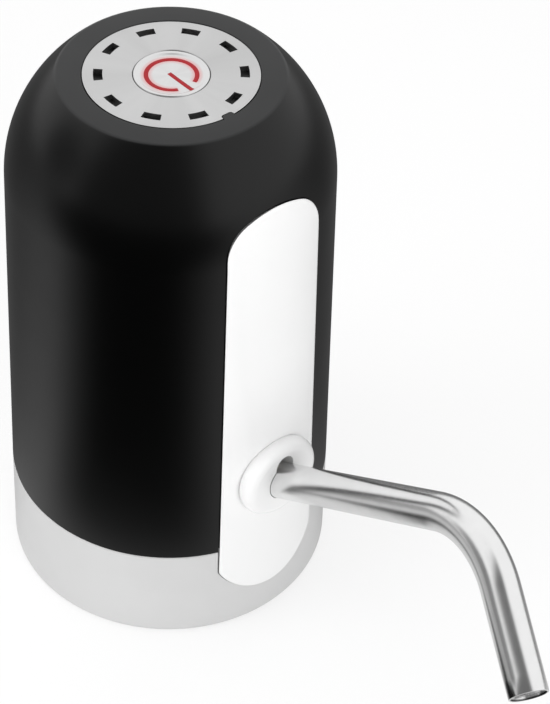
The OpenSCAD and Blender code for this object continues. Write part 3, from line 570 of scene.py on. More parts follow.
@dataclass(frozen=True)
class Finish:
    """One surface finish: two tones, a range of roughness and a pattern, in mm."""

    name: str
    light: Rgba
    dark: Rgba
    smooth: float
    rough: float
    grain: float
    relief: float = 0.15
    depth: float = 0.01
    metallic: float = 0.0
    specular: float = 0.5
    transmission: float = 0.0
    pattern: Pattern = Pattern.MOULDED
    attribute: str = ""

    def material(self) -> bpy.types.Material:
        """Gives the finish's material, which is built once.

        Returns:
            The node material.
        """
        title = f"finish_{self.name}"
        if title in bpy.data.materials:
            return bpy.data.materials[title]
        material = bpy.data.materials.new(title)
        material.use_nodes = True
        net = Net(material.node_tree)
        if self.attribute:
            place = net.add("Attribute", attribute_name=self.attribute).outputs["Vector"]
        else:
            place = net.add("TexCoord").outputs["Object"]
        group = net.add("Group", {
            "Vector": place, "Scale": 1 / (self.grain * MM), "Light tone": self.light,
            "Dark tone": self.dark, "Smoothest": self.smooth, "Roughest": self.rough,
        }, name="pattern", node_tree=SHOP.group(self.pattern))
        bump = net.add("Bump", {"Strength": self.relief, "Distance": self.depth * MM,
                                "Height": group.outputs["Height"]})
        net.feed(net.tree.nodes["Principled BSDF"], {
            "Metallic": self.metallic, "Specular IOR Level": self.specular,
            "Transmission Weight": self.transmission, "Base Color": group.outputs["Color"],
            "Roughness": group.outputs["Roughness"], "Normal": bump.outputs["Normal"],
        })
        return material

    def zone(self) -> tuple[Net, Node, Socket, Socket]:
        """Opens the finish's material for a zone that looks different.

        Returns:
            Its net, its shader, the socket of its colour and the socket of its place.
        """
        net = Net(self.material().node_tree)
        group = net.tree.nodes["pattern"]
        place = group.inputs["Vector"].links[0].from_socket
        return net, net.tree.nodes["Principled BSDF"], group.outputs["Color"], place

    def dress(self, obj: Obj) -> None:
        """Gives a piece this finish as its only material.

        Args:
            obj: Piece or solid to dress.
        """
        material = self.material()
        for slot in obj.material_slots:
            slot.material = material
        if not obj.material_slots:
            obj.data.materials.append(material)


def tone(red: float, green: float, blue: float) -> Rgba:
    """Gives an opaque colour."""
    return (red, green, blue, 1.0)


def grey(value: float, warm: float = 0.0) -> Rgba:
    """Gives a grey tone, a little warmer or cooler."""
    return tone(value * (1 + warm), value, value * (1 - warm))


SHELL = Finish("shell_black", grey(0.0014, -0.03), grey(0.0008, -0.03), 0.28, 0.34, 0.22, 0.1, 0.01,
               specular=0.36)
PANEL = Finish("panel_white", grey(0.86), grey(0.83), 0.2, 0.28, 0.3, 0.04, 0.005)
FOOT = Finish("base_white", grey(0.6), grey(0.56), 0.3, 0.38, 0.25, 0.08, 0.008)
# The gap between the plate's two tones sets how strongly the painted sheen of the spun fan shows.
PLATE = Finish("plate_silver", grey(0.69), grey(0.52), 0.285, 0.36, 0.08, 0.12, 0.004, metallic=1.0,
               pattern=Pattern.SPUN)
# The gap between the button's two tones sets how strongly the painted sheen of the spun fan shows.
BUTTON = Finish("button_silver", grey(0.8), grey(0.66), 0.285, 0.35, 0.07, 0.1, 0.004, metallic=1.0,
                pattern=Pattern.SPUN)
TUBE = Finish("steel_tube", grey(0.88), grey(0.83), 0.2, 0.265, 0.12, 0.06, 0.003, metallic=1.0,
              pattern=Pattern.DRAWN, attribute="run")
SYMBOL = Finish("symbol_red", tone(0.34, 0.01, 0.015), tone(0.27, 0.008, 0.012), 0.34, 0.44, 0.2, 0.05,
                0.005, specular=0.25)

INNER = {finish.name: finish for finish in (
    Finish("silicone", grey(0.1), grey(0.075), 0.5, 0.62, 0.4),
    Finish("black_rubber", grey(0.02), grey(0.012), 0.55, 0.7, 0.3, 0.25, 0.02),
    Finish("natural_plastic", tone(0.72, 0.7, 0.64), tone(0.64, 0.62, 0.56), 0.34, 0.46, 0.4),
    Finish("black_plastic", grey(0.025), grey(0.018), 0.35, 0.5, 0.3),
    Finish("frame_grey", grey(0.2), grey(0.16), 0.4, 0.52, 0.35),
    Finish("screw_steel", grey(0.58, 0.02), grey(0.46, 0.02), 0.25, 0.42, 0.12, metallic=1.0),
    Finish("motor_steel", grey(0.55), grey(0.48), 0.22, 0.34, 0.15, metallic=1.0),
    Finish("magnet_black", grey(0.05), grey(0.035), 0.5, 0.65, 0.25),
    Finish("bronze", tone(0.55, 0.33, 0.14), tone(0.46, 0.27, 0.11), 0.32, 0.48, 0.15, metallic=1.0),
    Finish("winding", tone(0.6, 0.24, 0.08), tone(0.42, 0.15, 0.05), 0.25, 0.4, 0.3, 0.5, 0.05,
           metallic=1.0, pattern=Pattern.SPUN),
    Finish("hose", tone(0.62, 0.63, 0.6), tone(0.55, 0.56, 0.53), 0.3, 0.4, 0.5),
    Finish("cell_wrap", tone(0.03, 0.11, 0.3), tone(0.025, 0.085, 0.24), 0.28, 0.4, 0.6),
    Finish("board_green", tone(0.02, 0.16, 0.06), tone(0.015, 0.12, 0.045), 0.3, 0.42, 0.5),
    Finish("led_red", tone(0.6, 0.05, 0.05), tone(0.5, 0.03, 0.03), 0.15, 0.25, 0.4, transmission=0.4),
    Finish("lead_red", tone(0.45, 0.02, 0.02), tone(0.36, 0.015, 0.015), 0.38, 0.5, 0.3),
    Finish("lead_black", grey(0.02), grey(0.014), 0.38, 0.5, 0.3),
)}


# Sub-assemblies

@dataclass
class BodyLine:
    """Outer line of the body in mm, which shell, base, panel and collar share."""

    height: float = 130.6
    foot_r: float = 36.8
    seam_r: float = 36.5
    seam_z: float = 24.8
    seam_edge: float = 0.25
    shoulder_r: float = 34.8
    shoulder_z: float = 106.2
    arc_c: Point = (1.296, 105.5)
    arc_r: float = 33.512
    lean: float = 1.1964

    def wall(self, z: float) -> float:
        """Gives the wall's radius at a height below the shoulder.

        Args:
            z: The height.

        Returns:
            The radius there.
        """
        if z < self.seam_z:
            return self.foot_r + (self.seam_r - self.foot_r) * z / self.seam_z
        share = (z - self.seam_z) / (self.shoulder_z - self.seam_z)
        return self.seam_r + (self.shoulder_r - self.seam_r) * share

    def shoulder(self, grow: float, top: float, steps: int = 28) -> list[Point]:
        """Points of the round shoulder up to a height.

        Args:
            grow: Distance outwards from the body's surface.
            top: Height at which it ends.
            steps: Number of steps.

        Returns:
            Points from the wall's end to the top.
        """
        r = self.arc_r + grow
        end = math.degrees(math.asin((top - self.arc_c[1]) / r))
        return arc(self.arc_c, r, self.lean, end, steps)

    def skin(self, name: str, grow: float, low: float, top: float) -> Obj:
        """Closed solid of the body, grown outwards, as a tool.

        Args:
            name: Name of the tool.
            grow: Distance outwards from the body's surface.
            low: Lower end.
            top: Upper end.

        Returns:
            The solid.
        """
        walls = [(self.wall(z) + grow, z) for z in (low, self.seam_z)]
        outline = [(0, low), *walls, *self.shoulder(grow, top), (0, top)]
        return turned(name, outline, 2 * TURN_STEPS)


LINE = BodyLine()


@dataclass
class SpoutLine:
    """Path of the spout's tube in mm: a straight run out of the body, a bend and a leg."""

    root: Place = (0.0, -36.0, 41.8)
    rise: float = 32.0
    roll: float = 243.5
    back: float = -11.8
    run: float = 57.8
    bend_r: float = 23.3
    bend: float = 62.3
    leg: float = 21.2
    r: float = 4.0
    bore_r: float = 3.5
    hole_r: float = 4.08
    head_r: float = 2.4
    head_rise: float = 4.5
    tool_ends: Point = (-14.0, 30.0)
    tool_sides: int = 96

    def place(self) -> Matrix:
        """Place of the tube's own frame, whose Z runs out along the tube.

        Returns:
            The matrix of that frame.
        """
        tilt = Matrix.Rotation(math.radians(90 - self.rise), 4, "X")
        roll = Matrix.Rotation(math.radians(self.roll), 4, "Z")
        return Matrix.Translation(Vector(self.root) * MM) @ tilt @ roll

    def way(self, name: str, r: float) -> Obj:
        """Round tool along the tube's axis.

        Args:
            name: Name of the tool.
            r: Radius of the way.

        Returns:
            The tool, in place.
        """
        back, front = self.tool_ends
        obj = turned(name, [(0, back), (r, back), (r, front), (0, front)], self.tool_sides)
        settle(obj, self.place())
        return obj

    def pierce(self, obj: Obj) -> None:
        """Cuts the tube's way through a piece, with head room over it.

        Args:
            obj: Piece that the tube passes through.
        """
        head = self.way("head_room", self.head_r)
        settle(head, Matrix.Translation((0, 0, self.head_rise * MM)))
        carve(obj, self.way("tube_way", self.hole_r), Cut.TAKE)
        carve(obj, head, Cut.TAKE)


SPOUT = SpoutLine()


@dataclass
class FrontPanel:
    """White arched strip on the front, in a pocket that it fills."""

    side_r: float = 8.305
    side_c: Point = (3.645, 107.891)
    crown_r: float = 16.969
    crown_c: Point = (0.0, 100.031)
    end_r: float = 14.498
    end_c: Point = (0.0, 24.098)
    foot_w: float = 13.35
    proud: float = 0.6
    depth: float = 1.35
    pocket: float = 1.4
    pocket_reach: float = 6.0
    gap: float = 0.15
    insets: tuple[float, ...] = (0.0, 0.1, 0.26, 0.5)
    drops: tuple[float, ...] = (0.34, 0.1, 0.02)
    side_steps: int = 56
    rows: range = range(10, 118, 2)
    columns: range = range(-12, 13)
    front_y: float = -60.0
    form_ends: Point = (2.0, 128.0)

    def outline(self, grow: float) -> list[Vector]:
        """Outline seen from the front.

        Args:
            grow: Distance outwards.

        Returns:
            Points in a plane well in front of the body.
        """
        x, z = self.side_c
        half = math.degrees(math.atan2(x, z - self.crown_c[1]))
        end = math.degrees(math.asin(self.foot_w / self.end_r))
        right = arc((x, z), self.side_r + grow, 0, 90 - half, 14)
        crown = arc(self.crown_c, self.crown_r + grow, 90 - half, 90 + half, 16)[1:-1]
        left = arc((-x, z), self.side_r + grow, 90 + half, 180, 14)
        foot = arc(self.end_c, self.end_r + grow, 270 - end, 270 + end, 28)
        down = self.between(left[-1], foot[0])
        up = self.between(foot[-1], right[0])
        return [Vector((a, self.front_y, b)) for a, b in right + crown + left + down + foot + up]

    def between(self, a: Point, b: Point) -> list[Point]:
        """Gives the inner points of a straight side."""
        n = self.side_steps
        return [tuple(p + (q - p) * i / n for p, q in zip(a, b)) for i in range(1, n)]

    def sheet(self, name: str, grow: float, offset: float, rounded: bool) -> Obj:
        """Lays the outline's face on the body.

        Args:
            name: Name of the sheet.
            grow: How far the outline grows.
            offset: Distance of the sheet from the body's surface.
            rounded: Gives the sheet a rounded edge.

        Returns:
            The sheet, with its front outwards.
        """
        obj = traced(name, self.outline(grow))
        if rounded:
            self.inset_edge(obj)
        cuts = [((0, 0, z * MM), (0, 0, 1)) for z in self.rows]
        cuts += [((x * MM, 0, 0), (1, 0, 0)) for x in self.columns]
        bpy.ops.object.mode_set(mode="EDIT")
        for point, normal in cuts:
            bpy.ops.mesh.select_all(action="SELECT")
            bpy.ops.mesh.bisect(plane_co=point, plane_no=normal)
        form = LINE.skin("panel_form", offset, *self.form_ends)
        apply(obj, "SHRINKWRAP", target=form, wrap_method="PROJECT", use_project_y=True,
              use_positive_direction=True, use_negative_direction=False)
        bpy.data.objects.remove(form)
        if rounded:
            self.lower_edge(obj)
        face(obj, (0, -1, 0))
        return obj

    def inset_edge(self, obj: Obj) -> None:
        """Insets the sheet's edge, with a vertex group for each of its loops.

        Args:
            obj: Flat sheet of one face.
        """
        take(obj)
        for inset, further in zip(self.insets, self.insets[1:]):
            obj.vertex_groups.active_index = obj.vertex_groups.new().index
            bpy.ops.object.mode_set(mode="EDIT")
            bpy.ops.object.vertex_group_assign()
            bpy.ops.mesh.select_mode(type="FACE")
            bpy.ops.mesh.inset(thickness=(further - inset) * MM, use_even_offset=True)
            bpy.ops.object.vertex_group_remove_from()
            bpy.ops.object.mode_set(mode="OBJECT")

    def lower_edge(self, obj: Obj) -> None:
        """Lowers the loops of the sheet's edge, so that it is round.

        Args:
            obj: Sheet on the body, with its loops as vertex groups.
        """
        for index, drop in enumerate(self.drops):
            obj.vertex_groups.active_index = index
            edit(obj)
            bpy.ops.mesh.select_all(action="DESELECT")
            bpy.ops.object.vertex_group_select()
            bpy.ops.transform.translate(value=(0, drop * MM, 0))
        free_hands()
        obj.vertex_groups.clear()

    def pocket_tool(self) -> Obj:
        """Gives the body of the pocket, from its floor out through the front."""
        floor = self.sheet("pocket_tool", self.gap, -self.pocket, False)
        return deepened(floor, (0, -self.pocket_reach, 0))

    def build(self) -> Obj:
        """Models the strip with its rounded edge and its hole for the spout.

        Returns:
            The finished piece.
        """
        obj = self.sheet("front_panel_strip", 0.0, self.proud, True)
        apply(obj, "SOLIDIFY", thickness=(self.proud + self.depth) * MM, offset=-1.0)
        clean(obj)
        SPOUT.pierce(obj)
        clean(obj, SOFT_ANGLE)
        PANEL.dress(obj)
        return ready(obj, Body.HOUSING, "panel_white", "front_panel")


@dataclass
class OuterShell:
    """Black housing with its round shoulder, flat top, plate recess and openings."""

    wall: float = 2.4
    wall_rings: tuple[float, ...] = (40, 55, 70, 85, 100)
    roof: float = 127.2
    recess_r: float = 18.25
    recess_z: float = 129.4
    recess_edge: float = 0.15
    button_hole_r: float = 7.9
    spout_hole_r: float = 6.7
    usb_w: float = 9.4
    usb_t: float = 4.5
    usb_z: float = 33.0
    usb_y: float = 30.0
    usb_reach: float = 10.0
    edge: float = 0.45
    key_play: float = 0.12
    key_sink: float = 0.02
    # Painted sheen: the flat top's colour is lightened by this factor to stand for the light it reflects.
    top_sheen_tone: float = 12.0
    top_sheen_fade: Point = (0.3, 0.05)

    def build(self, pocket: Obj) -> Obj:
        """Models the shell as a turned wall and cuts its openings.

        Args:
            pocket: Tool of the panel's pocket, which is kept.

        Returns:
            The finished piece.
        """
        *outer, corner = LINE.shoulder(0, LINE.height)
        inner = LINE.shoulder(-self.wall, self.roof)
        lip, rim = LINE.seam_edge, self.recess_edge
        seam_in = (LINE.seam_r - self.wall, LINE.seam_z)
        obj = turned("outer_shell_skin", [
            seam_in, (LINE.seam_r - lip, LINE.seam_z), (LINE.seam_r, LINE.seam_z + lip),
            *[(LINE.wall(z), z) for z in self.wall_rings], *outer,
            *softened(outer[-1], corner, (self.recess_r, LINE.height), self.edge),
            (self.recess_r + rim, LINE.height), (self.recess_r, LINE.height - rim),
            (self.recess_r, self.recess_z), (self.button_hole_r, self.recess_z),
            (self.button_hole_r, self.roof), *reversed(inner), seam_in,
        ])
        carve(obj, pocket, Cut.TAKE, keep=True)
        carve(obj, SPOUT.way("shell_way", self.spout_hole_r), Cut.TAKE)
        carve(obj, self.usb_tool(), Cut.TAKE)
        carve(obj, TopPlate().notch("plate_key", self.key_play, LINE.height - self.key_sink), Cut.JOIN)
        clean(obj)
        self.dress(obj)
        return ready(obj, Body.HOUSING, "shell_black", "outer_shell")

    def usb_tool(self) -> Obj:
        """Long round-ended tool for the charging opening.

        Returns:
            The closed tool.
        """
        half, r = (self.usb_w - self.usb_t) / 2, self.usb_t / 2
        ends = arc((half, self.usb_z), r, -90, 90, 12) + arc((-half, self.usb_z), r, 90, 270, 12)
        end = traced("usb_tool", [Vector((x, self.usb_y, z)) for x, z in ends])
        return deepened(end, (0, self.usb_reach, 0))

    def dress(self, obj: Obj) -> None:
        """Gives the shell its satin black, with a painted sheen that lightens the flat top.

        Args:
            obj: The shell.
        """
        SHELL.dress(obj)
        net, shader, colour, place = SHELL.zone()
        flat = net.step(net.part(place, "Z"), *metres(LINE.height - below for below in self.top_sheen_fade))
        sheen_tone = net.add("VectorMath", {0: colour, "Scale": self.top_sheen_tone}, operation="SCALE")
        net.feed(shader, {"Base Color": net.mix(flat, colour, sheen_tone.outputs["Vector"])})


@dataclass
class BaseFoot:
    """White foot with the socket for the bottle's neck."""

    edge: float = 1.5
    wall_rings: tuple[float, ...] = (8, 16)
    bore_r: float = 28.0
    bore_l: float = 8.0
    seal_r: float = 29.6
    neck_out_r: float = 31.2
    channel_r: float = 34.1
    channel_z: float = 2.4
    floor_z: float = 20.0
    lead_in: float = 0.5

    def build(self, pocket: Obj) -> Obj:
        """Models the foot as a turned ring with its pocket cut.

        Args:
            pocket: Tool of the panel's pocket, which is used up.

        Returns:
            The finished piece.
        """
        obj = turned("base_foot", [
            (self.bore_r, self.lead_in), (self.bore_r + self.lead_in, 0),
            *arc((LINE.foot_r - self.edge, self.edge), self.edge, -90, 0, 10),
            *[(LINE.wall(z), z) for z in self.wall_rings],
            (LINE.seam_r, LINE.seam_z - LINE.seam_edge), (LINE.seam_r - LINE.seam_edge, LINE.seam_z),
            (self.channel_r, LINE.seam_z), (self.channel_r, self.channel_z),
            (self.neck_out_r, self.channel_z), (self.neck_out_r, self.floor_z),
            (self.seal_r, self.floor_z), (self.seal_r, self.bore_l), (self.bore_r, self.bore_l),
            (self.bore_r, self.lead_in),
        ])
        carve(obj, pocket, Cut.TAKE)
        clean(obj)
        FOOT.dress(obj)
        return ready(obj, Body.HOUSING, "base_white", "base_ring")


@dataclass
class SpoutCollar:
    """White rounded ring on the panel round the spout's root."""

    z: float = 44.2
    r: float = 10.0
    depth: float = 8.0
    face_y: float = 39.795
    edge: float = 2.4
    gap: float = 0.65
    sides: int = 128
    form_ends: Point = (20.0, 80.0)

    def build(self) -> Obj:
        """Models the ring, fits its back to the panel and cuts the slanted way for the tube.

        Returns:
            The finished piece.
        """
        core = self.r - self.edge
        side = arc((core, self.depth - self.edge), self.edge, -90, 90, 24)
        obj = turned("spout_collar_ring", [(0, 0), (core, 0), *side, (0, self.depth)], self.sides)
        back = Matrix.Translation(Vector((0, self.depth - self.face_y, self.z)) * MM)
        settle(obj, back @ Matrix.Rotation(math.radians(90), 4, "X"))
        carve(obj, LINE.skin("collar_form", self.gap, *self.form_ends), Cut.TAKE)
        SPOUT.pierce(obj)
        clean(obj, SOFT_ANGLE)
        PANEL.dress(obj)
        return ready(obj, Body.HOUSING, "panel_white", "spout_collar")


@dataclass
class SpoutTube:
    """Bent steel tube, open at its tip."""

    sides: int = 72
    run_steps: int = 12
    bend_steps: int = 36
    leg_steps: int = 6
    tip_edge: float = 0.12
    # Painted light in the bore: shade deep inside and at the rim, and a band of light just inside the tip.
    bore_fade: Point = (0.2, 0.06)
    light_band_from: Point = (0.2, 0.5)
    light_band_to: Point = (2.0, 0.9)
    bore_light_tone: Rgba = grey(0.95)
    bore_shade_tone: Rgba = grey(0.12)

    def build(self) -> Obj:
        """Draws a circle out along the tube's path and gives it a wall.

        Returns:
            The finished piece.
        """
        bend = math.radians(SPOUT.bend)
        free_hands()
        bpy.ops.mesh.primitive_circle_add(vertices=self.sides, radius=SPOUT.r * MM,
                                          location=(0, 0, SPOUT.back * MM))
        obj = started("spout_steel_tube")
        edit(obj, "EDGE")
        for _ in range(self.run_steps):
            draw_out((0, 0, (SPOUT.run - SPOUT.back) / self.run_steps))
        bpy.ops.mesh.spin(steps=self.bend_steps, angle=bend, axis=(0, -1, 0),
                          center=metres((SPOUT.bend_r, 0, SPOUT.run)))
        for _ in range(self.leg_steps):
            step = SPOUT.leg / self.leg_steps
            draw_out((math.sin(bend) * step, 0, math.cos(bend) * step))
        clean(obj)
        apply(obj, "SOLIDIFY", thickness=(SPOUT.r - SPOUT.bore_r) * MM, offset=-1.0)
        bevel_sharp(obj, self.tip_edge)
        bpy.ops.object.shade_smooth_by_angle(angle=math.radians(SOFT_ANGLE))
        self.mark_run(obj)
        settle(obj, SPOUT.place())
        self.dress(obj)
        return ready(obj, Body.SPOUT, "steel_tube", "spout_tube")

    def mark_run(self, obj: Obj) -> None:
        """Writes each point's place on the unrolled tube, for lines that follow the bend.

        Args:
            obj: The tube in its own frame.
        """
        places = obj.data.attributes.new("run", "FLOAT_VECTOR", "POINT").data
        bend = math.radians(SPOUT.bend)
        for vertex in obj.data.vertices:
            x, y, z = (c / MM for c in vertex.co)
            across, along = x, z
            inward, past = SPOUT.bend_r - x, z - SPOUT.run
            if past > 0:
                turn = min(math.atan2(past, inward), bend)
                across = SPOUT.bend_r - inward * math.cos(turn) - past * math.sin(turn)
                along = SPOUT.run + turn * SPOUT.bend_r
                along += past * math.cos(turn) - inward * math.sin(turn)
            places[vertex.index].vector = metres((across, along, y))

    def dress(self, obj: Obj) -> None:
        """Gives the tube its drawn steel, with painted shade deep in the bore and at its rim, and a painted
        band of light on the bore just inside the tip.

        Args:
            obj: The tube with its run marked.
        """
        TUBE.dress(obj)
        net, shader, colour, place = TUBE.zone()
        radius = net.polar(place, "X", "Z")[2]
        inside = net.step(radius, *metres(SPOUT.bore_r + more for more in self.bore_fade))
        tip = SPOUT.run + math.radians(SPOUT.bend) * SPOUT.bend_r + SPOUT.leg
        depth = net.calc("SUBTRACT", tip * MM, net.part(place, "Y"))
        bands = [net.step(depth, *metres(band)) for band in (self.light_band_from, self.light_band_to)]
        bore = net.mix(net.calc("MULTIPLY", *bands), self.bore_shade_tone, self.bore_light_tone)
        net.feed(shader, {"Base Color": net.mix(inside, colour, bore)})


@dataclass
class TopPlate:
    """Silver disc in the top, with its slots and the notch in its rim."""

    r: float = 18.1
    hole_r: float = 7.9
    low: float = 129.4
    top: float = 130.6
    edge: float = 0.14
    edge_cut: float = 0.3
    slots: int = 10
    slot_r: float = 14.9
    slot_w: float = 1.9
    slot_l: float = 3.8
    notch_w: float = 2.8
    notch_d: float = 1.0
    notch_sink: float = 0.3
    notch_round: float = 0.7
    mouth: float = 0.5
    mouth_d: float = 0.35
    tool_below: float = 1.0
    tool_over: float = 3.0

    def build(self) -> Obj:
        """Models the disc and cuts its slots and its notch.

        Returns:
            The finished piece.
        """
        e, cut = self.edge, self.edge_cut * self.edge
        mouth = [(self.hole_r + self.mouth * (1 - math.sin(a)), self.top - self.mouth_d * (1 - math.cos(a)))
                 for a in (math.radians(15 * i) for i in range(7))]
        obj = turned("top_disc", [
            (self.hole_r, self.low), (self.r, self.low), (self.r, self.top - e),
            (self.r - cut, self.top - cut), (self.r - e, self.top), *mouth, (self.hole_r, self.low),
        ])
        first = self.slot_tool()
        for i in range(self.slots):
            tool = first.copy()
            tool.data = first.data.copy()
            bpy.context.collection.objects.link(tool)
            angle = math.radians((i + 0.5) * 360 / self.slots - 90)
            settle(tool, Matrix.Rotation(angle, 4, "Z"))
            carve(obj, tool, Cut.TAKE)
        bpy.data.objects.remove(first)
        carve(obj, self.notch("notch_tool", 0.0, self.top + self.tool_over), Cut.TAKE)
        clean(obj)
        PLATE.dress(obj)
        return ready(obj, Body.HOUSING, "plate_silver", "top_plate")

    def slot_tool(self) -> Obj:
        """Arched tool of one slot, on the X axis.

        Returns:
            The closed tool.
        """
        half = math.degrees(self.slot_l / 2 / self.slot_r)
        ends = arc((0, 0), self.slot_r + self.slot_w / 2, -half, half, 8)
        ends += arc((0, 0), self.slot_r - self.slot_w / 2, half, -half, 8)
        end = traced("slot_tool", [Vector((x, y, self.low - self.tool_below)) for x, y in ends])
        return deepened(end, (0, 0, self.tool_below + self.tool_over))

    def notch(self, name: str, play: float, top: float) -> Obj:
        """Block of the small notch at the front of the rim.

        Args:
            name: Name of the block.
            play: How much smaller than the notch it is on each side.
            top: Height of its upper face.

        Returns:
            The closed block.
        """
        low = self.low - self.notch_sink
        free_hands()
        bpy.ops.mesh.primitive_cube_add(size=MM, location=metres((0, -self.r, (low + top) / 2)),
                                        scale=(self.notch_w - 2 * play, 2 * (self.notch_d - play), top - low))
        obj = started(name)
        edit_edges(obj, lambda middle, run: abs(run.z) > MERGE and middle.y > -self.r * MM)
        bpy.ops.mesh.bevel(offset=self.notch_round * MM, segments=6)
        clean(obj)
        return obj


@dataclass
class PowerButton:
    """Dished silver push button with an inlaid power symbol."""

    r: float = 7.81
    face: float = 130.6
    rim: float = 0.3
    slope_r: float = 7.35
    dish_r: float = 6.3
    slope_d: float = 0.34
    dish_d: float = 0.14
    slope_steps: int = 8
    dish_steps: int = 16
    flange_r: float = 9.35
    flange_low: float = 126.0
    flange_top: float = 127.2
    stem_r: float = 2.2
    stem_low: float = 124.5
    ring_r: float = 5.65
    ring_steps: int = 90
    stroke: float = 0.95
    gap_half: float = 24.0
    bar_back: float = 0.8
    bar_l: float = 7.6
    bar_steps: int = 12
    inlay_from: float = 2.0
    inlay_lift: float = 0.04
    inlay_t: float = 0.2
    inlay_edge: float = 0.04
    light: float = 0.08
    glow_tone: Rgba = tone(0.8, 0.42, 0.42)
    glow_fade: Point = (1.5, 0.4)
    glow_gap: Point = (-8.0, 6.0)
    glow_share: float = 0.75
    # Even tone of the slope round the dish, a painted sheen without the brushed pattern.
    slope_sheen_tone: Rgba = grey(0.76)
    slope_fade: Point = (-0.1, 0.35)

    def build(self) -> Obj:
        """Models the button and its symbol.

        Returns:
            The finished button.
        """
        ball = (self.dish_r ** 2 + self.dish_d ** 2) / (2 * self.dish_d)
        bottom = self.face - self.slope_d - self.dish_d
        dish = []
        for t in (i / self.slope_steps for i in range(self.slope_steps + 1)):
            r = self.slope_r + (self.dish_r - self.slope_r) * t
            dish.append((r, self.face - self.slope_d * t * t * (3 - 2 * t)))
        for r in (self.dish_r * (1 - i / self.dish_steps) for i in range(1, self.dish_steps)):
            dish.append((r, bottom + ball - math.sqrt(ball ** 2 - r ** 2)))
        obj = turned("push_button", [
            (0, self.stem_low), (self.stem_r, self.stem_low), (self.stem_r, self.flange_low),
            (self.flange_r, self.flange_low), (self.flange_r, self.flange_top), (self.r, self.flange_top),
            *arc((self.r - self.rim, self.face - self.rim), self.rim, 0, 90, 8), *dish, (0, bottom),
        ])
        BUTTON.dress(obj)
        self.glow()
        ready(obj, Body.BUTTON, "button_silver", "power_button")
        self.symbol(obj)
        return obj

    def symbol(self, button: Obj) -> None:
        """Lays the open ring and the bar of the symbol into the dish.

        Args:
            button: Button that carries the symbol.
        """
        ring = self.edge_line("power_ring", (self.ring_r - self.stroke, 0), (self.ring_r, 0),
                              self.gap_half - 90)
        sweep = math.radians(360 - 2 * self.gap_half)
        bpy.ops.mesh.spin(steps=self.ring_steps, angle=sweep, center=(0, 0, 0), axis=(0, 0, -1))
        self.inlay(ring, button)
        half = self.stroke / 2
        bar = self.edge_line("power_bar", (-half, self.bar_back), (half, self.bar_back), 0.0)
        for _ in range(self.bar_steps):
            draw_out((0, -self.bar_l / self.bar_steps, 0))
        self.inlay(bar, button)

    def edge_line(self, name: str, a: Point, b: Point, angle: float) -> Obj:
        """Starts a strip from one edge above the button.

        Args:
            name: Name of the strip.
            a: First end of the edge.
            b: Second end.
            angle: Turn of the edge about Z in degrees.

        Returns:
            The strip, open for editing with its edge selected.
        """
        turn = Matrix.Rotation(math.radians(angle), 3, "Z")
        obj = strung(name, [turn @ Vector((x, y, self.face + self.inlay_from)) for x, y in (a, b)])
        bpy.ops.mesh.select_mode(type="EDGE")
        return obj

    def inlay(self, obj: Obj, button: Obj) -> None:
        """Presses a strip into the dish and gives it its lit red.

        Args:
            obj: Flat strip above the button.
            button: Button that carries it.
        """
        clean(obj)
        face(obj, (0, 0, 1))
        apply(obj, "SHRINKWRAP", target=button, wrap_method="PROJECT", use_project_z=True,
              use_negative_direction=True, use_positive_direction=False, offset=self.inlay_lift * MM)
        apply(obj, "SOLIDIFY", thickness=self.inlay_t * MM, offset=-1.0)
        bevel_sharp(obj, self.inlay_edge)
        clean(obj)
        SYMBOL.dress(obj)
        net, shader, colour, _ = SYMBOL.zone()
        net.feed(shader, {"Emission Color": colour, "Emission Strength": self.light})
        ready(obj, Body.BUTTON, "led_red")

    def glow(self) -> None:
        """Adds the pink light that the symbol throws on the metal as painted light, and on the slope round it
        one even tone, a painted sheen.
        """
        net, shader, colour, place = BUTTON.zone()
        _, y, radius = net.polar(place)
        middle = (self.ring_r - self.stroke / 2) * MM
        off = net.calc("ABSOLUTE", net.calc("SUBTRACT", radius, middle))
        near = net.step(off, *metres(self.glow_fade))
        ends = [-math.cos(math.radians(self.gap_half + more)) for more in self.glow_gap]
        gap = net.step(net.calc("DIVIDE", y, radius), *ends, end=self.glow_share)
        lit = net.mix(net.calc("MULTIPLY", near, gap), colour, self.glow_tone)
        slope = net.step(radius, *metres(self.dish_r + more for more in self.slope_fade))
        net.feed(shader, {"Base Color": net.mix(slope, lit, self.slope_sheen_tone)})


class Innards:
    """Solids that are right as they are, and get the finish of their material slot."""

    @staticmethod
    def dress() -> None:
        """Gives every solid that no piece replaces its finish."""
        for name, obj in sorted(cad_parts.items()):
            if not obj.hide_render:
                slot = obj.material_slots[0].material.name.split(".")[0]
                INNER[slot].dress(obj)
                log.info("%s: solid kept, finish %s", name, slot)


@dataclass(frozen=True)
class Lamp:
    """One soft square lamp, which reflections don't show."""

    name: str
    place: Place
    target: Place
    size: float
    power: float

    def build(self) -> None:
        """Hangs the lamp and turns it to its target."""
        data = bpy.data.lights.new(self.name, "AREA")
        data.size = self.size
        data.energy = self.power
        lamp = bpy.data.objects.new(self.name, data)
        bpy.context.scene.collection.objects.link(lamp)
        lamp.visible_glossy = False
        lamp.location = self.place
        way = Vector(self.target) - Vector(self.place)
        lamp.rotation_euler = way.to_track_quat("-Z", "Y").to_euler()


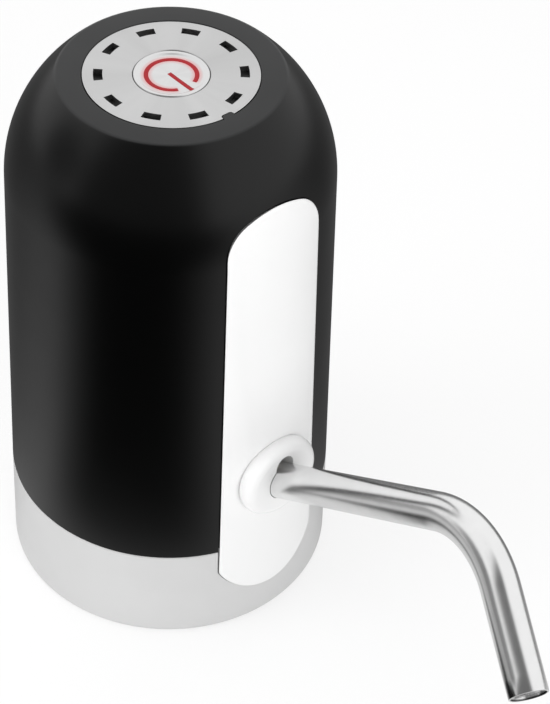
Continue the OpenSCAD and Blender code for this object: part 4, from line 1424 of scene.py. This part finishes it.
@dataclass
class Studio:
    """Floor, soft light and the camera at the photograph's angle, in metres."""

    eye: Place = (-0.23393, -0.29096, 0.40350)
    right: Place = (0.759348, -0.649760, 0.034652)
    up: Place = (0.425180, 0.535794, 0.729484)
    ahead: Place = (0.492555, 0.539200, -0.683120)
    lens: float = 116.19
    sensor: float = 36.0
    clip: float = 0.01
    floor_size: float = 6.0
    floor_z: float = -0.0002
    floor_tone: Rgba = grey(0.82)
    paper_tone: Rgba = grey(0.9)
    ambient: float = 0.55
    whiteness: float = 0.72
    dark_side: Place = (-0.866, -0.500, 0.0)
    dark_across: Place = (0.500, -0.866, 0.0)
    dark_spread: float = 0.8
    dark_level: float = 0.15
    dark_fade: float = 0.3
    near_side: Place = (-0.676, -0.737, 0.0)
    near_fade: Point = (-0.5, 0.5)
    floor_light: float = 0.74
    floor_back: float = 0.17
    lane_fade: Point = (0.52, 0.95)
    lane_widens: Point = (0.12, 0.4)
    lane_more: float = 0.2
    lane_start: Point = (0.056, 0.068)
    card_side: Place = (-0.761, 0.595, 0.259)
    card_fade: Point = (0.93, 0.985)
    card_level: float = 0.2
    lamps: tuple[Lamp, ...] = (
        Lamp("overhead", (-0.1, 0.2, 0.9), (0, 0, 0.08), 0.9, 4.0),
        Lamp("front", (-0.2, -0.9, 0.4), (0, 0, 0.06), 0.6, 4.4),
        Lamp("left_side", (-0.85, 0.3, 0.4), (0, 0, 0.06), 0.6, 3.4),
    )

    def build(self) -> None:
        """Sets up the whole studio."""
        bpy.context.scene.view_settings.view_transform = "Standard"
        self.camera()
        self.floor()
        self.world()
        for lamp in self.lamps:
            lamp.build()

    def camera(self) -> None:
        """Adds the camera and makes it the scene's own."""
        data = bpy.data.cameras.new("photo_camera")
        data.lens = self.lens
        data.sensor_width = self.sensor
        data.clip_start = self.clip
        camera = bpy.data.objects.new("photo_camera", data)
        bpy.context.scene.collection.objects.link(camera)
        rows = [(self.right[i], self.up[i], -self.ahead[i], self.eye[i]) for i in range(3)]
        camera.matrix_world = Matrix([*rows, (0, 0, 0, 1)])
        bpy.context.scene.camera = camera

    def floor(self) -> None:
        """Adds the pale floor, which shows white and keeps the shadow."""
        free_hands()
        bpy.ops.mesh.primitive_plane_add(size=self.floor_size, location=(0, 0, self.floor_z))
        floor = started("pale_floor")
        material = bpy.data.materials.new("pale_floor")
        material.use_nodes = True
        net = Net(material.node_tree)
        net.tree.nodes.clear()
        level, mask, glossy = self.surround(net, self.floor_mirror(net))
        plain, paper = (net.add("BsdfDiffuse", {"Color": colour}).outputs["BSDF"]
                        for colour in (self.floor_tone, self.paper_tone))
        white = net.add("Emission", {"Strength": level}).outputs["Emission"]
        share = net.calc("MAXIMUM", glossy, self.whiteness)
        seen = net.add("MixShader", {0: share, 1: paper, 2: white}).outputs["Shader"]
        mixed = net.add("MixShader", {0: mask, 1: plain, 2: seen}).outputs["Shader"]
        net.add("OutputMaterial", {"Surface": mixed})
        floor.data.materials.append(material)

    def floor_mirror(self, net: Net) -> Socket:
        """Level of the floor in reflections: light on the near side, with one dark lane.

        Args:
            net: Net of the floor's material.

        Returns:
            The level's socket.
        """
        place = net.add("TexCoord").outputs["Object"]
        way = net.add("VectorMath", {0: place}, operation="NORMALIZE").outputs["Vector"]
        away = net.polar(place)[2]
        near = net.step(net.dot(way, self.near_side), *self.near_fade, self.floor_back, self.floor_light)
        wider = net.step(away, *self.lane_widens, end=self.lane_more)
        lane = net.step(net.calc("ADD", net.dot(way, self.dark_side), wider), *self.lane_fade)
        dark = net.calc("MULTIPLY", lane, net.step(away, *self.lane_start))
        return net.calc("MULTIPLY", net.calc("SUBTRACT", 1.0, dark), near)

    @staticmethod
    def surround(net: Net, mirrored: Socket) -> tuple[Socket, Socket, Socket]:
        """White of the surround, which has light and dark sides in reflections, as a studio has.

        Args:
            net: Net that is built.
            mirrored: Level that reflections see.

        Returns:
            The level of white, the mask of what is seen directly, in metal or through glass, and
            the mask of what is seen in reflections alone.
        """
        path = net.add("LightPath").outputs
        glossy = path["Is Glossy Ray"]
        mask = net.calc("MAXIMUM", path["Is Camera Ray"], glossy)
        mask = net.calc("MAXIMUM", mask, path["Is Transmission Ray"])
        shade = net.calc("MULTIPLY", net.calc("SUBTRACT", 1.0, mirrored), glossy)
        return net.calc("SUBTRACT", 1.0, shade), mask, glossy

    def world(self) -> None:
        """Sets a white surround that lights the object softly."""
        world = bpy.data.worlds.new("studio")
        bpy.context.scene.world = world
        world.use_nodes = True
        net = Net(world.node_tree)
        way = net.add("TexCoord").outputs["Generated"]
        across = net.calc("ABSOLUTE", net.dot(way, self.dark_across))
        inside = net.calc("MULTIPLY", net.dot(way, self.dark_side), self.dark_spread)
        wedge = net.step(net.calc("SUBTRACT", across, inside), 0.0, self.dark_fade, self.dark_level)
        card = net.step(net.dot(way, self.card_side), *self.card_fade, 1.0, self.card_level)
        level, mask, _ = self.surround(net, net.calc("MULTIPLY", wedge, card))
        strength = net.add("Mix", {"Factor": mask, "A": self.ambient, "B": level}).outputs["Result"]
        net.feed(net.tree.nodes["Background"], {"Color": grey(1.0), "Strength": strength})


def main() -> None:
    """Builds the studio and the pieces in order."""
    logging.basicConfig(level=logging.INFO, format="%(name)s %(message)s")
    Studio().build()
    panel = FrontPanel()
    pocket = panel.pocket_tool()
    OuterShell().build(pocket)
    BaseFoot().build(pocket)
    panel.build()
    SpoutCollar().build()
    SpoutTube().build()
    TopPlate().build()
    PowerButton().build()
    Innards().dress()
    free_hands()


if __name__ == "__main__":
    main()
